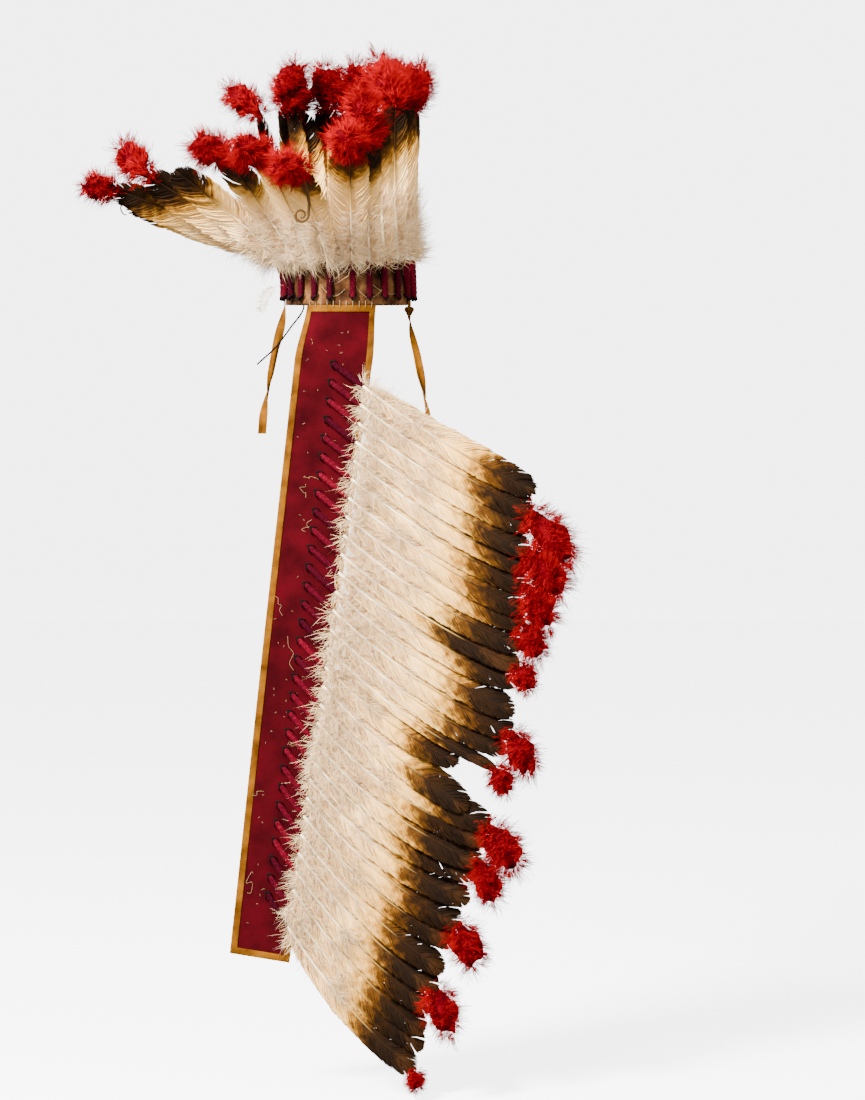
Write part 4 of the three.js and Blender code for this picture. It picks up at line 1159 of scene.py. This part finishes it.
# %% Threads, lint and stitches
rng = np.random.default_rng(7)
threads = []
THREAD_U, THREAD_V = [225, 240, 283, 382, 441, 571, 640, 750], [-24, -20, -7, -42, -20, -2, -30, -35]
THREAD_LONG, THREAD_HEADING = [22, 12, 16, 26, 40, 10, 18, 30], [10, 80, 120, 60, 75, 20, 150, 95]
LINT = 70
for u, v, long, heading in zip(THREAD_U, THREAD_V, THREAD_LONG, THREAD_HEADING):
    a = math.radians(heading)
    t = np.linspace(0, 1, 6)
    us = u + long * t * math.sin(a) + rng.normal(0, 3, 6)
    vs = v + long * t * math.cos(a) + rng.normal(0, 3, 6)
    on = strip_point(us, vs) + strip_normal(us, vs) * (1.6 + 1.2 * rng.random(6))[:, None]
    threads.append((string(through(on, 6), 0.2, 4), THREAD))
lint_u, lint_v = rng.uniform(20, 840, LINT), rng.uniform(-40, 20, LINT)
lint_way = rng.uniform(0, 2 * np.pi, LINT)
for u, v, way in zip(lint_u, lint_v, lint_way):
    us, vs = u + np.array([0, 1.5, 3]) * math.sin(way), v + np.array([0, 1.5, 3]) * math.cos(way)
    threads.append((string(strip_point(us, vs) + strip_normal(us, vs) * 1.5, 0.22, 3), THREAD))
for place, drop, reach in ((0.1, 14, 26), (1.2, 9, 34), (22.4, 12, 22)):
    azimuth = crown_azimuth(place) + np.linspace(0, reach, 7)
    on = on_plan(azimuth, CAP_WALL + CUFF_THICKNESS + 1.0)
    on[:, 2] = 26 - drop * np.sin(np.linspace(0, np.pi, 7)) - 6 * np.linspace(0, 1, 7)
    threads.append((string(through(on, 5), 0.35, 4), THREAD))
shares = np.linspace(0.5, 0.2, 7)
point, _, side, face = read(crown_line(22), shares)
across = np.array([-4, 2, 9, 11, 12, 16, 20])[:, None]
threads.append((string(through(point + side * across + face * 3.2, 6), 0.4, 4), THREAD))
for v in np.arange(-45, 46, 9.0):
    top = strip_point(4.0, v) + strip_normal(4.0, v) * 2.7
    rim = strip_point(0.0, v) + strip_normal(0.0, v) * 3.4 + [0.6, 0, 5.5]
    stitch = through(np.array([top, 0.5 * (top + rim) + [0, 0.7, 0], rim]), 3)
    threads.append((string(stitch, 0.4, 4), THREAD))
piece("threads_and_stitches", threads)
print("threads, lint and stitches:", len(threads))

# %% The loose feather and the wisp of down
def loose_feather(path, out, reach, count, rng):
    """Soft barbs on both sides of a thin quill along path: each ends at +-side reach sin(pi t)^0.6, ahead"""
    t = rng.random(count)
    at = t * (len(path) - 1)
    low = np.minimum(at.astype(int), len(path) - 2)
    root = path[low] + (path[low + 1] - path[low]) * (at - low)[:, None]
    along = unit(path[low + 1] - path[low])
    side = unit(np.cross(along, out)) * rng.choice([-1, 1], count)[:, None]
    far = reach * np.sin(np.pi * np.clip(0.12 + 0.86 * t, 0, 1)) ** 0.6 * rng.uniform(0.6, 1.1, count)
    end = root + side * far[:, None] + along * (far * rng.uniform(0.2, 0.9, count))[:, None]
    end = end + out * rng.uniform(-1, 7, count)[:, None]
    bow = rng.normal(0, 0.08, (count, 3)) * far[:, None]
    drawn = rng.random(count)
    lie = lie_of(0.8, 0, drawn)
    up = unit(rng.normal(0, 1, (count, 3)))
    return blades(root, end, bow, up, [0.36], 0.2, [0.4], lie, lie)


u, v = np.linspace(488, 618, 12), np.array([60, 58, 55, 52, 49, 46, 43, 40, 36, 33, 29, 26.0])
normal = strip_normal(u, v)
quill = strip_point(u, v) + normal * 11
rng = np.random.default_rng(11)
LOOSE_BARBS, WISP_BARBS = 700, 160
stray = [(loose_feather(quill, normal.mean(0), 21, LOOSE_BARBS, rng), DOWN)]
stray.append((string(quill, 0.45, 5), SHAFT))
hang = np.array([[84, 33, 26], [97, 36, 24], [108, 37, 15], [113, 37, 2], [115, 37, -9.0]])
stray.append((string(through(hang, 5), 0.3, 4), THREAD))
wisp = through(hang[1:], 6)
stray.append((loose_feather(wisp, np.array([0, 1.0, 0]), 11, WISP_BARBS, rng), DOWN))
piece("loose_feather_and_wisp", stray)
print("barbs of the loose feather and the wisp:", LOOSE_BARBS, WISP_BARBS)

# %% [markdown]
# ## Studio
# The photograph was taken in front of white paper in soft light. A plain plane would end at a horizon, so a
# pale floor curves up into a wide dome, and the ground is plain from every side. The dome is only for the
# camera: it lets the bright even surround's light through. A key light and a weak fill do the rest.

# %% Studio
FLOOR = -1.038
DOME_RADIUS = 18
DOME_SIDES = 48
FLOOR_RADIUS = 9
PAPER_GLOW = 3.9
SURROUND = 1.15
climb = np.radians(np.linspace(0, 90, 13))
up = FLOOR_RADIUS - FLOOR_RADIUS * np.cos(climb)
profile = [(FLOOR_RADIUS, 0.0), *zip(FLOOR_RADIUS + (DOME_RADIUS - FLOOR_RADIUS) * np.sin(climb), up)]
profile += [*zip(DOME_RADIUS * np.cos(climb[1:]), FLOOR_RADIUS + DOME_RADIUS * np.sin(climb[1:]))]
around = np.radians(np.arange(DOME_SIDES) * 360 / DOME_SIDES)
corners = [(r * math.cos(a), r * math.sin(a), FLOOR + h) for r, h in profile[1:] for a in around]
count = len(profile) - 1
quads = [tuple(range(DOME_SIDES))]
for k in range(count - 1):
    for j in range(DOME_SIDES):
        here, there = k * DOME_SIDES, (k + 1) * DOME_SIDES
        quads.append((here + j, here + (j + 1) % DOME_SIDES, there + (j + 1) % DOME_SIDES, there + j))
sweep_mesh = bpy.data.meshes.new("studio_dome")
sweep_mesh.from_pydata(corners, [], quads)
sweep_mesh.polygons.foreach_set("use_smooth", [False] + [True] * (len(quads) - 1))
sweep = bpy.data.objects.new("studio_dome", sweep_mesh)
bpy.context.scene.collection.objects.link(sweep)
# Paper, pressed: matt white, and it glows a little so that the ground is plain
paper = new_material("studio_paper", 0.9)
paper_shader = paper.node_tree.nodes["Principled BSDF"]
paper_shader.inputs["Base Color"].default_value = rgb("#F6F6F7")
paper_shader.inputs["Emission Color"].default_value = rgb("#FFFFFF")
paper_shader.inputs["Emission Strength"].default_value = PAPER_GLOW
sweep_mesh.materials.append(paper)
sweep.visible_diffuse = False
sweep.visible_glossy = False
sweep.visible_shadow = False

world = bpy.data.worlds.new("studio_surround")
bpy.context.scene.world = world
world.use_nodes = True
world.node_tree.nodes["Background"].inputs["Color"].default_value = rgb("#FFFFFF")
world.node_tree.nodes["Background"].inputs["Strength"].default_value = SURROUND


def softbox(name, place, size, power):
    """A square area light at place that looks at the object, with its size in metres and power in watts"""
    light = bpy.data.lights.new(name, "AREA")
    light.shape = "SQUARE"
    light.size = size
    light.energy = power
    lamp = bpy.data.objects.new(name, light)
    bpy.context.scene.collection.objects.link(lamp)
    lamp.location = place
    lamp.rotation_mode = "QUATERNION"
    lamp.rotation_quaternion = (AIM - Vector(place)).to_track_quat("-Z", "Y")
    return lamp


softbox("key_light", (2.0, 3.0, 2.2), 1.0, 1250)
softbox("fill_light", (-2.6, 2.6, 0.6), 2.0, 60)
print("studio: floor at", FLOOR, "m, dome radius", DOME_RADIUS, "m")

# %% [markdown]
# ## The end
# The faces of all meshes that render are counted.

shown = [o for o in bpy.context.scene.objects if o.type == "MESH" and not o.hide_render]
print("faces in all:", sum(len(o.data.polygons) for o in shown))
